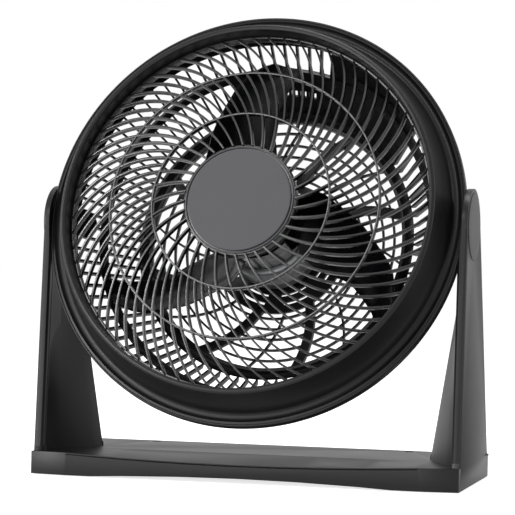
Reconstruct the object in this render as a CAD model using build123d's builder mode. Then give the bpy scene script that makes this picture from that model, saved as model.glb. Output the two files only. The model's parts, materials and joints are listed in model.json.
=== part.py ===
from build123d import *
import os
from math import atan2, cos, degrees, hypot, radians, sin

# Air circulator fan: a round guarded head, tilting between the two arms of a U-shaped stand.
# Frame: +X to the right-hand arm as seen from the front, -Y the front, +Z up,
# origin on the floor under the middle of the whole fan. All lengths are millimetres.

os.makedirs("parts", exist_ok=True)

# ---------------------------------------------------------------- driving dimensions
# Stand
STAND_WIDTH = 380.6  # over the outer faces of the two arms
STAND_DEPTH = 150.0
STAND_FRONT = -53.5  # y of the base's front wall
CORNER_SETBACK = 4.0  # the end facets of the front wall turn back by this
CORNER_FACET = 32.0  # width of each end facet
PLATE_TOP = 20.5  # flat top of the base
LIP_DIP = 4.2  # the front edge dips this far below the plate at mid-width
SCOOP_DEPTH = 57.0  # the dip runs out this far behind the front wall
ARCH_RISE = 3.6  # underside arch between the feet
SHELL_WALL = 3.0
FOOT_LIFT = 0.8  # rubber feet stand proud of the shell by this
FOOT_RADIUS = 8.0
FOOT_INSET = 20.0
FOOT_POCKET = 2.4
MOUNT_SPACING = 240.0  # two screw-down holes near the base's rear edge
MOUNT_HOLE_R = 4.6
MOUNT_INSET = 8.5

# Pivot between stand and head
PIVOT_INSET = 58.0  # behind the front wall
PIVOT_Z = 222.8
REST_TILT = 16.87  # the head looks up by this at rest
SWING_RADIUS = 188.5  # ball-shaped clearance that the arms leave round the head
SWING_ANGLES = (38.0, 30.0, 22.5, 15.0, 8.0, 1.0)
ARM_TOP_R = 32.5
ARM_FRONT_FOOT = 8.0  # arm's front edge behind the front wall, at the floor
ARM_BEAD = 7.8  # rounded front strip of each arm
BEAD_ROUND = 1.8
RIDGE_INSET = 81.0  # inner ridge of each arm, behind the front wall
RIDGE_FOOT_X = 148.0
RIDGE_TOP_X = 184.0
ARM_WALL = 2.8
ARM_HOLLOW_FOOT = 6.0  # how far the inner face is hollowed
ARM_HOLLOW_TOP = 0.6
POCKET_START = 0.6  # the open back reaches forward to this share of the front wall
BOSS_WEB = 2.0
BOLT_LENGTH = 20.0
CAP_EDGE = 0.4
CAP_SKIN = 1.1
ARM_BOSS_R = 12.0
ARM_BOSS_X = 183.9
CAP_R = 28.7
CAP_GAP = 0.4
CAP_RECESS = 1.5
CAP_SIDES = 40
CAP_PROUD = 0.9
BOLT_R = 3.0
BOLT_HEAD_R = 6.0
BOLT_HEAD_H = 2.6
WASHER_R = 9.0
WASHER_H = 0.9
RUNNING = 0.06  # radial clearance of a turning fit
SEAT = 0.3  # clearance between two bodies
CUT = 0.01  # a cut runs this far past the face it opens

HEAD_SIDES = 48  # the head's turned shapes are many-sided
MIDDLE_SIDES = 36
SMALL_SIDES = 20
TINY_SIDES = 12
FLAT_FIT = 1 / cos(radians(180 / TINY_SIDES))  # a many-sided hole's flats touch the round shaft

# Head: radii are from the head's axis, "fwd" is forward of the pivot along that axis
FLANGE_R = 186.8
FLANGE_FWD = 19.0
LIP_R = 163.8
LIP_FWD = 56.7
LIP_WIDTH = 4.6
SLEEVE_R = 161.0
SLEEVE_FWD = 36.0
SLEEVE_WALL = 2.4
SPLIT_FWD = 16.0  # where the shroud meets the rear housing
SHROUD_CHEEK = ((182.8, 22.6), (176.1, 28.9), (171.0, 36.5), (167.7, 45.0))  # (radius, fwd)

# Front grille
BADGE_R = 45.6
BADGE_FWD = 70.4
BADGE_H = 2.4
BADGE_RING_R = 48.0
BADGE_GROOVE = 0.8
DOME_DROP = 25.7
DOME_START_R = 47.25
DOME_SPAN = 107.75
RING_1_R = 78.3
RING_2_R = 119.4
RING_WIDTH = 1.9
RIB_WIDTH = 2.0
RIB_DEPTH = 8.5
RIB_ARC = 107.4  # plan radius of each curved rib
RIB_LEAN = 14.5  # degrees off radial where it leaves the hub
LONG_RIBS = 36
GRILLE_HUB_R = 44.0
GRILLE_HUB_REST_R = 49.8  # solid middle that the badge and its ring rest on
GRILLE_RIM_R = 160.6
GRILLE_RIM = 2.2

# Rear cage
CAGE_R = 122.0
CAGE_FWD = -60.6
CAGE_SLOPE = 75.0 / 58.0  # rise of the cage per unit of radius
SLAT_COUNT = 90
SLAT_WIDTH = 2.0
SLAT_DEPTH = 5.5
SLOT_INNER_R = 128.0
SLOT_OUTER_R = 171.0
MID_RING_R = 153.0
MID_RING = 4.0
BACK_BANDS = (  # radius, width and depth of each ring of the back face
    (67.0, 2.0, 4.0),
    (77.0, 2.0, 4.0),
    (87.0, 2.0, 4.0),
    (97.5, 2.0, 4.0),
    (108.0, 2.0, 4.0),
    (120.0, 6.5, 6.5),
)
BACK_SIDES = 32  # the rings are many-sided, two sides to each arm
BACK_DOME = 13.5  # how far the back face bulges rearward at its middle
BACK_DEPTH = 4.5
BACK_ARMS = 16
BACK_ARM_SWEEP = 20.0
BACK_ARM_PHASE = 13.0
THICK_ARM = 9.0
THIN_ARM = 2.0
MOTOR_PLATE_R = 62.0
PLATE_WALL = 3.0
AIR_SLITS = ((45.5, 1.8), (53.5, 2.2))  # radius and width of the slits in the motor plate
SLITS_ROUND = 8
CLOSED_OUTER = (34.0, 72.0)  # plain wall instead of slats, outside the middle band
CLOSED_INNER = (34.0, 108.0)  # the same, inside the middle band
FLANGE_WALL = 3.2
FLANGE_RIM = 10.5
BACK_ARM_SPANS = 2

HEAD_BOSS_R = 12.6
SCREW_R = 1.4
SCREW_HEAD_R = 2.5
SCREW_HEAD_H = 1.8
SCREW_BITE = 4.5
BOLT_FIT = 0.02
FLANGE_SCREWS = 6
FLANGE_SCREW_R = 183.4

# Motor cover and cable gland
COVER_R = 40.0
COVER_DEPTH = 9.0
COVER_WALL = 2.2
GLAND_R = 7.5
GLAND_NECK_R = 5.8
GLAND_LENGTH = 9.0
GLAND_DROP = 22.0
CABLE_R = 3.6

# Fan blade
BLADE_COUNT = 3
BLADE_PHASE = 107.0
BLADE_FWD = 3.5  # mid-plane of the blades
BLADE_WALL = 2.4
BLADE_SHARES = (-1, -0.5, 0, 0.5, 1)  # where each section's two sides have their points
BLADE_STATIONS = (  # radius, azimuth, chord, pitch, camber
    (30.0, 0.0, 50.0, 44.0, 5.0),
    (70.0, -2.0, 58.0, 38.0, 5.0),
    (110.0, -5.0, 66.0, 31.0, 4.5),
    (148.0, -11.0, 62.0, 26.0, 4.0),
)
HUB_R = 37.0
HUB_FWD = 22.0
HUB_LENGTH = 36.0
HUB_BOSS_R = 9.0
HUB_REST = -6.0  # rear end of the hub's boss
SHAFT_R = 4.0
PIN_R = 1.5
PIN_LENGTH = 17.0
NUT_ENGAGE = 8.0
BLADE_NUT_R = 11.0
BLADE_NUT_H = 12.0

# Motor
MOTOR_R = 41.0
MOTOR_FRONT = -20.0
BELL_LENGTH = 15.0
BELL_WALL = 2.2
STACK_LENGTH = 16.0
ROTOR_R = 22.6
AIR_GAP = 0.5
STATOR_SLOTS = 12
WINDING_OUTER_R = 35.0
WINDING_INNER_R = 25.0
WINDING_H = 6.0
BUSH_R = 8.5
BUSH_LENGTH = 9.0
MOTOR_SCREW_R = 30.0

# Speed-control pod on the plain part of the cage
POD_AZIMUTH = 54.0
POD_R = 148.0
POD_WIDTH = 60.0
POD_LENGTH = 40.0
POD_HEIGHT = 18.0
POD_WALL = 2.4
POD_FLOOR = 0.6
POD_LID = 2.4
POD_ROUND = 5.0
POD_SCREW_INSET = 5.0
SWITCH_SIDE = 22.0
SWITCH_H = 13.0
BUSHING_R = 4.5
NUT_R = 6.8
NUT_H = 2.2
SPINDLE_R = 3.0
KNOB_R = 14.0
KNOB_H = 12.0
KNOB_SKIRT = 4.5
KNOB_GRIP = 7.0
KNOB_LIFT = 0.4

# ---------------------------------------------------------------- worked-out places
HALF_WIDTH = STAND_WIDTH / 2
STAND_BACK = STAND_FRONT + STAND_DEPTH
PIVOT_Y = STAND_FRONT + PIVOT_INSET
MOUNT_Y = STAND_BACK - MOUNT_INSET
PLATE_FWD = CAGE_FWD - BACK_DOME + PLATE_WALL + 0.6  # front of the motor plate
PLATE_BACK = PLATE_FWD - PLATE_WALL
COVER_BACK = PLATE_BACK - COVER_DEPTH
STACK_FRONT = MOTOR_FRONT - BELL_LENGTH
STACK_REAR = STACK_FRONT - STACK_LENGTH
MOTOR_REAR = STACK_REAR - BELL_LENGTH
HEAD_BOSS_X = ARM_BOSS_X - SEAT
RIDGE_Y = STAND_FRONT + RIDGE_INSET
TILT = radians(REST_TILT)
FORWARD = (0, -cos(TILT), sin(TILT))
PIVOT = (0, PIVOT_Y, PIVOT_Z)
HEAD = Plane(origin=PIVOT, x_dir=(1, 0, 0), z_dir=FORWARD)


def turned(points, sides, plane=Plane.XY):
    """A many-sided turned shape through (radius, distance along the plane's axis) points."""
    with BuildPart() as shape:
        for radius, along in points:
            with BuildSketch(plane.offset(along)):
                RegularPolygon(radius, sides)
        loft(ruled=True)
    return shape.part


def flat_ring(radius, width, back, depth, sides):
    """A many-sided ring about the head's axis, in the head's own frame."""
    with BuildPart() as ring:
        with BuildSketch(Plane.XY.offset(back)):
            RegularPolygon(radius + width / 2, sides)
            RegularPolygon(radius - width / 2, sides, mode=Mode.SUBTRACT)
        extrude(amount=depth)
    return ring.part


def finish(builder, name):
    """Label one finished piece and write it."""
    builder.part.label = name
    export_step(builder.part, f"parts/{name}.step")
    print(name, round(builder.part.volume), "mm3")


def spot(radius, azimuth, fwd=0.0):
    """A point of the head's own frame; azimuth in degrees from +X."""
    return (radius * cos(radians(azimuth)), radius * sin(radians(azimuth)), fwd)


def dome_fwd(radius):
    """Front of the domed front grille at a radius."""
    share = max(0.0, radius - DOME_START_R) / DOME_SPAN
    return BADGE_FWD - DOME_DROP * share**2


def cage_fwd(radius):
    """Outer surface of the conical side cage at a radius."""
    return CAGE_FWD + (radius - CAGE_R) * CAGE_SLOPE


def back_fwd(radius):
    """Rear surface of the domed back face at a radius."""
    return CAGE_FWD - BACK_DOME * (1 - (radius / CAGE_R) ** 4)


# ---------------------------------------------------------------- stand
def base_outline(inset):
    """Plan of the base: straight front, turned end facets, straight sides and back."""
    side = HALF_WIDTH - inset
    facet = HALF_WIDTH - CORNER_FACET
    front = STAND_FRONT + inset
    with BuildSketch() as outline:
        Polygon(
            (-facet, front),
            (facet, front),
            (side, front + CORNER_SETBACK),
            (side, STAND_BACK - inset),
            (-side, STAND_BACK - inset),
            (-side, front + CORNER_SETBACK),
            align=None,
        )
    return outline.sketch


def arm_edges(height):
    """Front edge y, back edge y and inner ridge x of one arm at a height."""
    share = height / PIVOT_Z
    foot = STAND_FRONT + ARM_FRONT_FOOT
    front = foot + (PIVOT_Y - ARM_TOP_R - foot) * share
    back = STAND_BACK + (PIVOT_Y + ARM_TOP_R - STAND_BACK) * share
    ridge = RIDGE_FOOT_X + (RIDGE_TOP_X - RIDGE_FOOT_X) * share
    return front, back, ridge


def arm_section(height):
    """Plan of one arm at a height: bead in front, hollowed inner face, ridge, sloping back."""
    front, back, ridge = arm_edges(height)
    bead_x = HALF_WIDTH - ARM_BEAD
    bead_y = front + ARM_BEAD
    hollow = ARM_HOLLOW_FOOT + (ARM_HOLLOW_TOP - ARM_HOLLOW_FOOT) * height / PIVOT_Z
    inner_face = []
    for share in (1 / 3, 2 / 3):
        bow = 4 * hollow * share * (1 - share)
        x = bead_x + (ridge - bead_x) * share + bow
        inner_face.append((x, bead_y + (RIDGE_Y - bead_y) * share + bow / 2))
    with BuildSketch(Plane.XY.offset(height)) as section:
        Polygon(
            (ridge, RIDGE_Y),
            (HALF_WIDTH, back),
            (HALF_WIDTH, front + BEAD_ROUND),
            (HALF_WIDTH - BEAD_ROUND, front),
            (bead_x + BEAD_ROUND, front),
            (bead_x, front + BEAD_ROUND),
            (bead_x, bead_y),
            *inner_face,
            align=None,
        )
    return section.sketch


def arm_pocket_section(height):
    """Plan of the space behind an arm's two walls, running out past its open back."""
    front, back, ridge = arm_edges(height)
    outer = HALF_WIDTH - ARM_WALL
    start = front + (RIDGE_Y - front) * POCKET_START
    with BuildSketch(Plane.XY.offset(height)) as section:
        Polygon(
            (outer, start),
            (outer, back + 20),
            (ridge + ARM_WALL, back + 20),
            (ridge + ARM_WALL, RIDGE_Y + ARM_WALL),
            align=None,
        )
    return section.sketch


def foot_places():
    """Plan centres of the four feet."""
    x = HALF_WIDTH - FOOT_INSET
    front = STAND_FRONT + CORNER_SETBACK + FOOT_INSET
    return [(sx * x, y) for sx in (1, -1) for y in (front, STAND_BACK - FOOT_INSET)]


def pivot_plane(side, x):
    """Plane across the pivot axis at a distance x from the middle, looking outward."""
    return Plane(origin=(side * x, PIVOT_Y, PIVOT_Z), x_dir=(0, side, 0), z_dir=(side, 0, 0))


# room for the head to swing: a ball, many-sided and in steps, about the pivot
swing_steps = [(SWING_RADIUS * sin(a), SWING_RADIUS * cos(a)) for a in map(radians, SWING_ANGLES)]
swing_room = turned(swing_steps, BACK_SIDES, pivot_plane(1, 0))

with BuildPart() as arm:
    add(arm_section(PLATE_TOP - SHELL_WALL))
    add(arm_section(PIVOT_Z))
    loft(ruled=True)
    with BuildSketch(pivot_plane(1, RIDGE_TOP_X - 4)):
        Circle(ARM_TOP_R)
    extrude(amount=HALF_WIDTH - RIDGE_TOP_X + 4)
    with BuildSketch(Plane.YZ.offset(RIDGE_FOOT_X - 20)):
        with Locations((PIVOT_Y, PIVOT_Z)):
            Circle(ARM_TOP_R)
        with BuildLine():
            Polyline(
                (STAND_FRONT + ARM_FRONT_FOOT, 0),
                (PIVOT_Y - ARM_TOP_R, PIVOT_Z),
                (PIVOT_Y + ARM_TOP_R, PIVOT_Z),
                (STAND_BACK, 0),
                close=True,
            )
        make_face()
    extrude(amount=HALF_WIDTH - RIDGE_FOOT_X + 20, mode=Mode.INTERSECT)
    add(arm_pocket_section(PLATE_TOP + SHELL_WALL))
    add(arm_pocket_section(PIVOT_Z - ARM_TOP_R - 4))
    loft(ruled=True, mode=Mode.SUBTRACT)
    add(swing_room, mode=Mode.SUBTRACT)
    with BuildSketch(pivot_plane(1, ARM_BOSS_X)):
        RegularPolygon(ARM_BOSS_R, SMALL_SIDES)
    extrude(amount=HALF_WIDTH - CAP_RECESS - ARM_BOSS_X)
    with BuildSketch(pivot_plane(1, HALF_WIDTH - CAP_RECESS)):
        RegularPolygon(CAP_R + CAP_GAP, CAP_SIDES)
    extrude(amount=CAP_RECESS + 1, mode=Mode.SUBTRACT)
    with BuildSketch(pivot_plane(1, ARM_BOSS_X + BOSS_WEB)):
        RegularPolygon(WASHER_R + CAP_GAP, SMALL_SIDES)
    extrude(amount=HALF_WIDTH, mode=Mode.SUBTRACT)
    with BuildSketch(pivot_plane(1, ARM_BOSS_X - 1)):
        Circle(BOLT_R + RUNNING)
    extrude(amount=10, mode=Mode.SUBTRACT)

DIP_REACH = HALF_WIDTH - CORNER_FACET - 2
CEILING = PLATE_TOP - LIP_DIP - SHELL_WALL
ARCH_X = HALF_WIDTH - 2 * FOOT_INSET
CURVE_SHARES = (-1, -0.7, -0.35, 0, 0.35, 0.7, 1)  # where the two shallow curves have their points

with BuildPart() as stand_frame:
    add(base_outline(0))
    extrude(amount=PLATE_TOP)
    # the plate's front slopes down to a shallow dip in the front edge
    for back, drop in ((-1, LIP_DIP), (SCOOP_DEPTH, 0.05)):
        with BuildSketch(Plane.XZ.offset(-STAND_FRONT - back)):
            dip = [(DIP_REACH * share, PLATE_TOP - drop * (1 - share**2)) for share in CURVE_SHARES]
            Polygon(*dip, (DIP_REACH, PLATE_TOP + 5), (-DIP_REACH, PLATE_TOP + 5), align=None)
    loft(ruled=True, mode=Mode.SUBTRACT)
    # hollow underside, higher behind the slope
    add(base_outline(SHELL_WALL))
    extrude(amount=CEILING, mode=Mode.SUBTRACT)
    with BuildSketch(Plane.XY.offset(CEILING - 1)):
        with Locations((0, (STAND_FRONT + SCOOP_DEPTH + STAND_BACK - SHELL_WALL) / 2)):
            Rectangle(2 * (HALF_WIDTH - SHELL_WALL), STAND_DEPTH - SCOOP_DEPTH - SHELL_WALL)
    extrude(amount=LIP_DIP + 1, mode=Mode.SUBTRACT)
    # arched underside between the feet
    with BuildSketch(Plane.XZ.offset(-STAND_BACK - 1)):
        arch = [(ARCH_X * share, (ARCH_RISE + FOOT_LIFT) * (1 - share**2)) for share in CURVE_SHARES]
        Polygon(*arch, align=None)
    extrude(amount=STAND_DEPTH + 2, mode=Mode.SUBTRACT)
    with BuildSketch():
        Rectangle(3 * HALF_WIDTH, 3 * HALF_WIDTH)
    extrude(amount=FOOT_LIFT, mode=Mode.SUBTRACT)
    add(arm.part)
    add(arm.part.mirror(Plane.YZ))
    # round bosses, pocketed for the rubber feet
    with BuildSketch(Plane.XY.offset(FOOT_LIFT)):
        with Locations(*foot_places()):
            RegularPolygon(FOOT_RADIUS + SHELL_WALL, 8)
    extrude(amount=PLATE_TOP - FOOT_LIFT - SHELL_WALL / 2)
    with BuildSketch(Plane.XY.offset(FOOT_LIFT)):
        with Locations(*foot_places()):
            RegularPolygon(FOOT_RADIUS, 8)
    extrude(amount=FOOT_POCKET, mode=Mode.SUBTRACT)
    with BuildSketch(Plane.XY.offset(CEILING)):
        with Locations((MOUNT_SPACING / 2, MOUNT_Y), (-MOUNT_SPACING / 2, MOUNT_Y)):
            Circle(MOUNT_HOLE_R)
    extrude(amount=PLATE_TOP, mode=Mode.SUBTRACT)
finish(stand_frame, "stand_frame")

with BuildPart() as rubber_feet:
    with BuildSketch():
        with Locations(*foot_places()):
            RegularPolygon(FOOT_RADIUS - 0.1, 8)
    extrude(amount=FOOT_LIFT + FOOT_POCKET)
finish(rubber_feet, "rubber_feet")

# round cap over one pivot bolt, hollow behind
with BuildPart() as pivot_cap_right:
    face_x = HALF_WIDTH + CAP_PROUD
    seat_x = HALF_WIDTH - CAP_RECESS
    outline = [(CAP_R, seat_x), (CAP_R, face_x - CAP_EDGE), (CAP_R - CAP_EDGE, face_x)]
    add(turned(outline, CAP_SIDES, pivot_plane(1, 0)))
    with BuildSketch(pivot_plane(1, seat_x)):
        RegularPolygon(WASHER_R, SMALL_SIDES)
    extrude(amount=CAP_RECESS + CAP_PROUD - CAP_SKIN, mode=Mode.SUBTRACT)
finish(pivot_cap_right, "pivot_cap_right")

with BuildPart() as pivot_cap_left:
    add(pivot_cap_right.part.mirror(Plane.YZ))
finish(pivot_cap_left, "pivot_cap_left")

with BuildPart() as pivot_washers:
    for side in (1, -1):
        with BuildSketch(pivot_plane(side, ARM_BOSS_X + BOSS_WEB)):
            RegularPolygon(WASHER_R, SMALL_SIDES)
            RegularPolygon(BOLT_R + 6 * RUNNING, TINY_SIDES, mode=Mode.SUBTRACT)
    extrude(amount=WASHER_H)
finish(pivot_washers, "pivot_washers")

# bolts fixed in the head's bosses, turning in the arms
BOLT_SEAT_X = ARM_BOSS_X + BOSS_WEB + WASHER_H
with BuildPart() as pivot_bolts:
    for side in (1, -1):
        with BuildSketch(pivot_plane(side, BOLT_SEAT_X - BOLT_LENGTH)):
            Circle(BOLT_R)
    extrude(amount=BOLT_LENGTH)
    for side in (1, -1):
        with BuildSketch(pivot_plane(side, BOLT_SEAT_X)):
            RegularPolygon(BOLT_HEAD_R, TINY_SIDES)
    extrude(amount=BOLT_HEAD_H)
    for side in (1, -1):
        with BuildSketch(pivot_plane(side, BOLT_SEAT_X + BOLT_HEAD_H / 2)):
            RegularPolygon(BOLT_HEAD_R / 3, 6)
    extrude(amount=BOLT_HEAD_H, mode=Mode.SUBTRACT)
finish(pivot_bolts, "pivot_bolts")


# ---------------------------------------------------------------- head: front
shroud_outside = [
    (FLANGE_R, SPLIT_FWD),
    (FLANGE_R, FLANGE_FWD),
    *SHROUD_CHEEK,
    (LIP_R + LIP_WIDTH / 2, LIP_FWD - 2.6),
    (LIP_R + LIP_WIDTH / 4, LIP_FWD - 0.4),
    (LIP_R - LIP_WIDTH / 4, LIP_FWD),
]
shroud_hollow = [(FLANGE_R - 3, SPLIT_FWD - CUT), (SLEEVE_R + SLEEVE_WALL, LIP_FWD - 16)]
sleeve_bore = [
    (SLEEVE_R, SPLIT_FWD - 1),
    (SLEEVE_R, LIP_FWD - 2.4),
    (LIP_R - LIP_WIDTH / 4, LIP_FWD + CUT),
]

with BuildPart(HEAD) as front_shroud:
    add(turned(shroud_outside, HEAD_SIDES))
    add(turned(shroud_hollow, HEAD_SIDES), mode=Mode.SUBTRACT)
    add(flat_ring(SLEEVE_R + SLEEVE_WALL / 2, SLEEVE_WALL, SLEEVE_FWD, 6, HEAD_SIDES))
    add(turned(sleeve_bore, HEAD_SIDES), mode=Mode.SUBTRACT)
    with BuildSketch(HEAD.offset(SPLIT_FWD)):
        with PolarLocations(FLANGE_SCREW_R, FLANGE_SCREWS, start_angle=30):
            RegularPolygon(SCREW_R, 6)
    extrude(amount=SCREW_BITE, mode=Mode.SUBTRACT)
finish(front_shroud, "front_shroud")


def rib_station(turn):
    """Radius and azimuth of a rib's plan arc after it has turned this many degrees."""
    lean = radians(RIB_LEAN)
    x = GRILLE_HUB_R + RIB_ARC * (sin(lean + radians(turn)) - sin(lean))
    y = RIB_ARC * (cos(lean) - cos(lean + radians(turn)))
    return hypot(x, y), degrees(atan2(y, x))


def rib_turn(radius):
    """How far a rib's plan arc has turned where it reaches a radius, by bisection."""
    low, high = 0.0, 90.0
    for _ in range(40):
        middle = (low + high) / 2
        if rib_station(middle)[0] < radius:
            low = middle
        else:
            high = middle
    return low


def front_rib(start_r, spans):
    """One curved rib from a radius to the rim, following the dome, tapered to its rear edge."""
    start = rib_turn(start_r)
    end = rib_turn(GRILLE_RIM_R - GRILLE_RIM / 2)
    with BuildPart() as rib:
        for step in range(spans + 1):
            turn = start + (end - start) * step / spans
            radius, azimuth = rib_station(turn)
            heading = radians(RIB_LEAN + turn)
            spot_plane = Plane(
                origin=spot(radius, azimuth, dome_fwd(radius)),
                x_dir=(-sin(heading), cos(heading), 0),
                z_dir=(cos(heading), sin(heading), 0),
            )
            with BuildSketch(spot_plane):
                Polygon((-RIB_WIDTH / 2, 0), (RIB_WIDTH / 2, 0), (0, -RIB_DEPTH), align=None)
        loft(ruled=True)
    return rib.part


long_rib = front_rib(BADGE_RING_R + 0.8, 4)
short_rib = front_rib(RING_1_R, 3)
with BuildPart(HEAD) as front_grille:
    for radius in (RING_1_R, RING_2_R):
        add(flat_ring(radius, RING_WIDTH, dome_fwd(radius) - RIB_DEPTH + 0.6, RIB_DEPTH - 0.6, LONG_RIBS))
    rim_back = dome_fwd(GRILLE_RIM_R) - RIB_DEPTH - 0.6
    add(flat_ring(GRILLE_RIM_R - GRILLE_RIM / 2, GRILLE_RIM, rim_back, RIB_DEPTH + 1, HEAD_SIDES))
    with BuildSketch(HEAD.offset(BADGE_FWD - BADGE_H - RIB_DEPTH)):
        RegularPolygon(GRILLE_HUB_REST_R, LONG_RIBS)
    extrude(amount=RIB_DEPTH)
    with PolarLocations(0, LONG_RIBS):
        add(long_rib)
    with PolarLocations(0, LONG_RIBS, start_angle=180 / LONG_RIBS):
        add(short_rib)
finish(front_grille, "front_grille")

with BuildPart(HEAD) as badge:
    edge = BADGE_H / 3
    outline = [(BADGE_R, BADGE_FWD - BADGE_H), (BADGE_R, BADGE_FWD - edge), (BADGE_R - edge, BADGE_FWD)]
    add(turned(outline, MIDDLE_SIDES))
finish(badge, "badge")

with BuildPart(HEAD) as badge_ring:
    width = BADGE_RING_R - BADGE_R - BADGE_GROOVE
    add(flat_ring(BADGE_RING_R - width / 2, width, BADGE_FWD - BADGE_H, BADGE_H - 0.6, MIDDLE_SIDES))
finish(badge_ring, "badge_ring")


# ---------------------------------------------------------------- head: rear housing
CAGE_RUN = hypot(1, CAGE_SLOPE)
CAGE_OUT = (CAGE_SLOPE / CAGE_RUN, -1 / CAGE_RUN)  # outward normal of the cage, as (radius, fwd)
SLAT_PITCH = 360 / SLAT_COUNT


def cage_spot(radius, depth):
    """Side-view point a depth inside the cage's outer surface."""
    return (radius - CAGE_OUT[0] * depth, cage_fwd(radius) - CAGE_OUT[1] * depth)


def cage_plan(fwd, depth):
    """The cage's many-sided outline where its surface, sunk by a depth, crosses a plane."""
    radius = CAGE_R - CAGE_OUT[0] * depth + (fwd - CAGE_FWD + CAGE_OUT[1] * depth) / CAGE_SLOPE
    with BuildSketch(Plane.XY.offset(fwd)) as outline:
        RegularPolygon(radius, SLAT_COUNT)
    return outline.sketch


def cage_slot(start_r, end_r):
    """The opening between two bars of the cage, centred on azimuth 0."""
    with BuildPart() as slot:
        for depth in (-1.0, SLAT_DEPTH + 1.0):
            corners = []
            for radius in (start_r, end_r):
                inner = radius - CAGE_OUT[0] * depth
                run = (radius - start_r) * CAGE_RUN
                half = inner * sin(radians(SLAT_PITCH / 2)) - SLAT_WIDTH / 2
                corners += [(-half, run), (half, run)]
            face = Plane(
                origin=(cage_spot(start_r, depth)[0], 0, cage_spot(start_r, depth)[1]),
                x_dir=(0, 1, 0),
                z_dir=(CAGE_OUT[0], 0, CAGE_OUT[1]),
            )
            with BuildSketch(face):
                Polygon(corners[0], corners[1], corners[3], corners[2], align=None)
        loft(ruled=True)
    return slot.part


def back_arm(width, depth):
    """One curved arm of the back face, from the motor plate to the cage."""
    with BuildPart() as bar:
        for step in range(BACK_ARM_SPANS + 1):
            share = step / BACK_ARM_SPANS
            radius = MOTOR_PLATE_R - 2 + (CAGE_R - MOTOR_PLATE_R + 1) * share
            azimuth = BACK_ARM_SWEEP * (1 - share)
            heading = radians(azimuth) - atan2(radius * radians(BACK_ARM_SWEEP), CAGE_R - MOTOR_PLATE_R)
            station = Plane(
                origin=spot(radius, azimuth, back_fwd(radius) + 0.2),
                x_dir=(-sin(heading), cos(heading), 0),
                z_dir=(cos(heading), sin(heading), 0),
            )
            with BuildSketch(station):
                Rectangle(width, depth, align=(Align.CENTER, Align.MIN))
        loft(ruled=True)
    return bar.part


def head_vector(x, y, z):
    """A direction of the head's own frame, in the fan's frame."""
    return HEAD.x_dir * x + HEAD.y_dir * y + HEAD.z_dir * z


POD_AROUND = (cos(radians(POD_AZIMUTH)), sin(radians(POD_AZIMUTH)))
POD = Plane(
    origin=HEAD.origin + head_vector(*spot(POD_R, POD_AZIMUTH, cage_fwd(POD_R))),
    x_dir=head_vector(-POD_AROUND[1], POD_AROUND[0], 0),
    z_dir=head_vector(CAGE_OUT[0] * POD_AROUND[0], CAGE_OUT[0] * POD_AROUND[1], CAGE_OUT[1]),
)

inner_slot = cage_slot(SLOT_INNER_R, MID_RING_R - MID_RING / 2)
outer_slot = cage_slot(MID_RING_R + MID_RING / 2, SLOT_OUTER_R)
thick_arm = back_arm(THICK_ARM, BACK_DEPTH + 1)
thin_arm = back_arm(THIN_ARM, BACK_DEPTH)
slot_azimuths = [SLAT_PITCH * (k + 0.5) for k in range(SLAT_COUNT)]
inner_slots = [a for a in slot_azimuths if not CLOSED_INNER[0] < a < CLOSED_INNER[1]]
outer_slots = [a for a in slot_azimuths if not CLOSED_OUTER[0] < a < CLOSED_OUTER[1]]

with BuildPart() as cage:
    add(cage_plan(CAGE_FWD, 0))
    add(cage_plan(SPLIT_FWD - FLANGE_WALL / 2, 0))
    loft(ruled=True)
    add(cage_plan(CAGE_FWD - 1, SLAT_DEPTH))
    add(cage_plan(SPLIT_FWD + 1, SLAT_DEPTH))
    loft(ruled=True, mode=Mode.SUBTRACT)
    with Locations(*[Location((0, 0, 0), (0, 0, a)) for a in inner_slots]):
        add(inner_slot, mode=Mode.SUBTRACT)
    with Locations(*[Location((0, 0, 0), (0, 0, a)) for a in outer_slots]):
        add(outer_slot, mode=Mode.SUBTRACT)

with BuildPart() as rear_flange:
    with BuildSketch(Plane.XY.offset(SPLIT_FWD - FLANGE_WALL)):
        RegularPolygon(FLANGE_R, HEAD_SIDES)
        RegularPolygon(FLANGE_R - FLANGE_RIM, HEAD_SIDES, mode=Mode.SUBTRACT)
        with PolarLocations(FLANGE_SCREW_R, FLANGE_SCREWS, start_angle=30):
            RegularPolygon(SCREW_R, 6, mode=Mode.SUBTRACT)
    extrude(amount=FLANGE_WALL)

# back face: stepped rings, curved arms and the plate that carries the motor
with BuildPart() as back_face:
    for radius, width, depth in BACK_BANDS:
        add(flat_ring(radius, width, back_fwd(radius), depth, BACK_SIDES))
    with BuildSketch(Plane.XY.offset(PLATE_BACK)):
        RegularPolygon(MOTOR_PLATE_R, BACK_SIDES)
    extrude(amount=PLATE_WALL)
    with PolarLocations(0, BACK_ARMS // 2, start_angle=BACK_ARM_PHASE):
        add(thick_arm)
    with PolarLocations(0, BACK_ARMS // 2, start_angle=BACK_ARM_PHASE + 180 / (BACK_ARMS // 2)):
        add(thin_arm)
    # standoffs and screw holes for the motor, and arc-shaped air slits round it
    with BuildSketch(Plane.XY.offset(PLATE_FWD - 0.5)):
        with PolarLocations(MOTOR_SCREW_R, 4, start_angle=45):
            RegularPolygon(2.4 * SCREW_R, 8)
    extrude(amount=MOTOR_REAR - PLATE_FWD + 0.5)
    with BuildSketch(Plane.XY.offset(PLATE_BACK - 1)):
        with PolarLocations(MOTOR_SCREW_R, 4, start_angle=45):
            RegularPolygon(SCREW_R, 6)
        for radius, width in AIR_SLITS:
            with PolarLocations(radius, SLITS_ROUND, start_angle=22.5):
                Rectangle(width, 24)
    extrude(amount=MOTOR_REAR - PLATE_BACK + 2, mode=Mode.SUBTRACT)

with BuildPart() as cage_inside:
    add(cage_plan(-30, SLAT_DEPTH + 0.4))
    add(cage_plan(SPLIT_FWD - FLANGE_WALL, SLAT_DEPTH + 0.4))
    loft(ruled=True)

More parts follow.
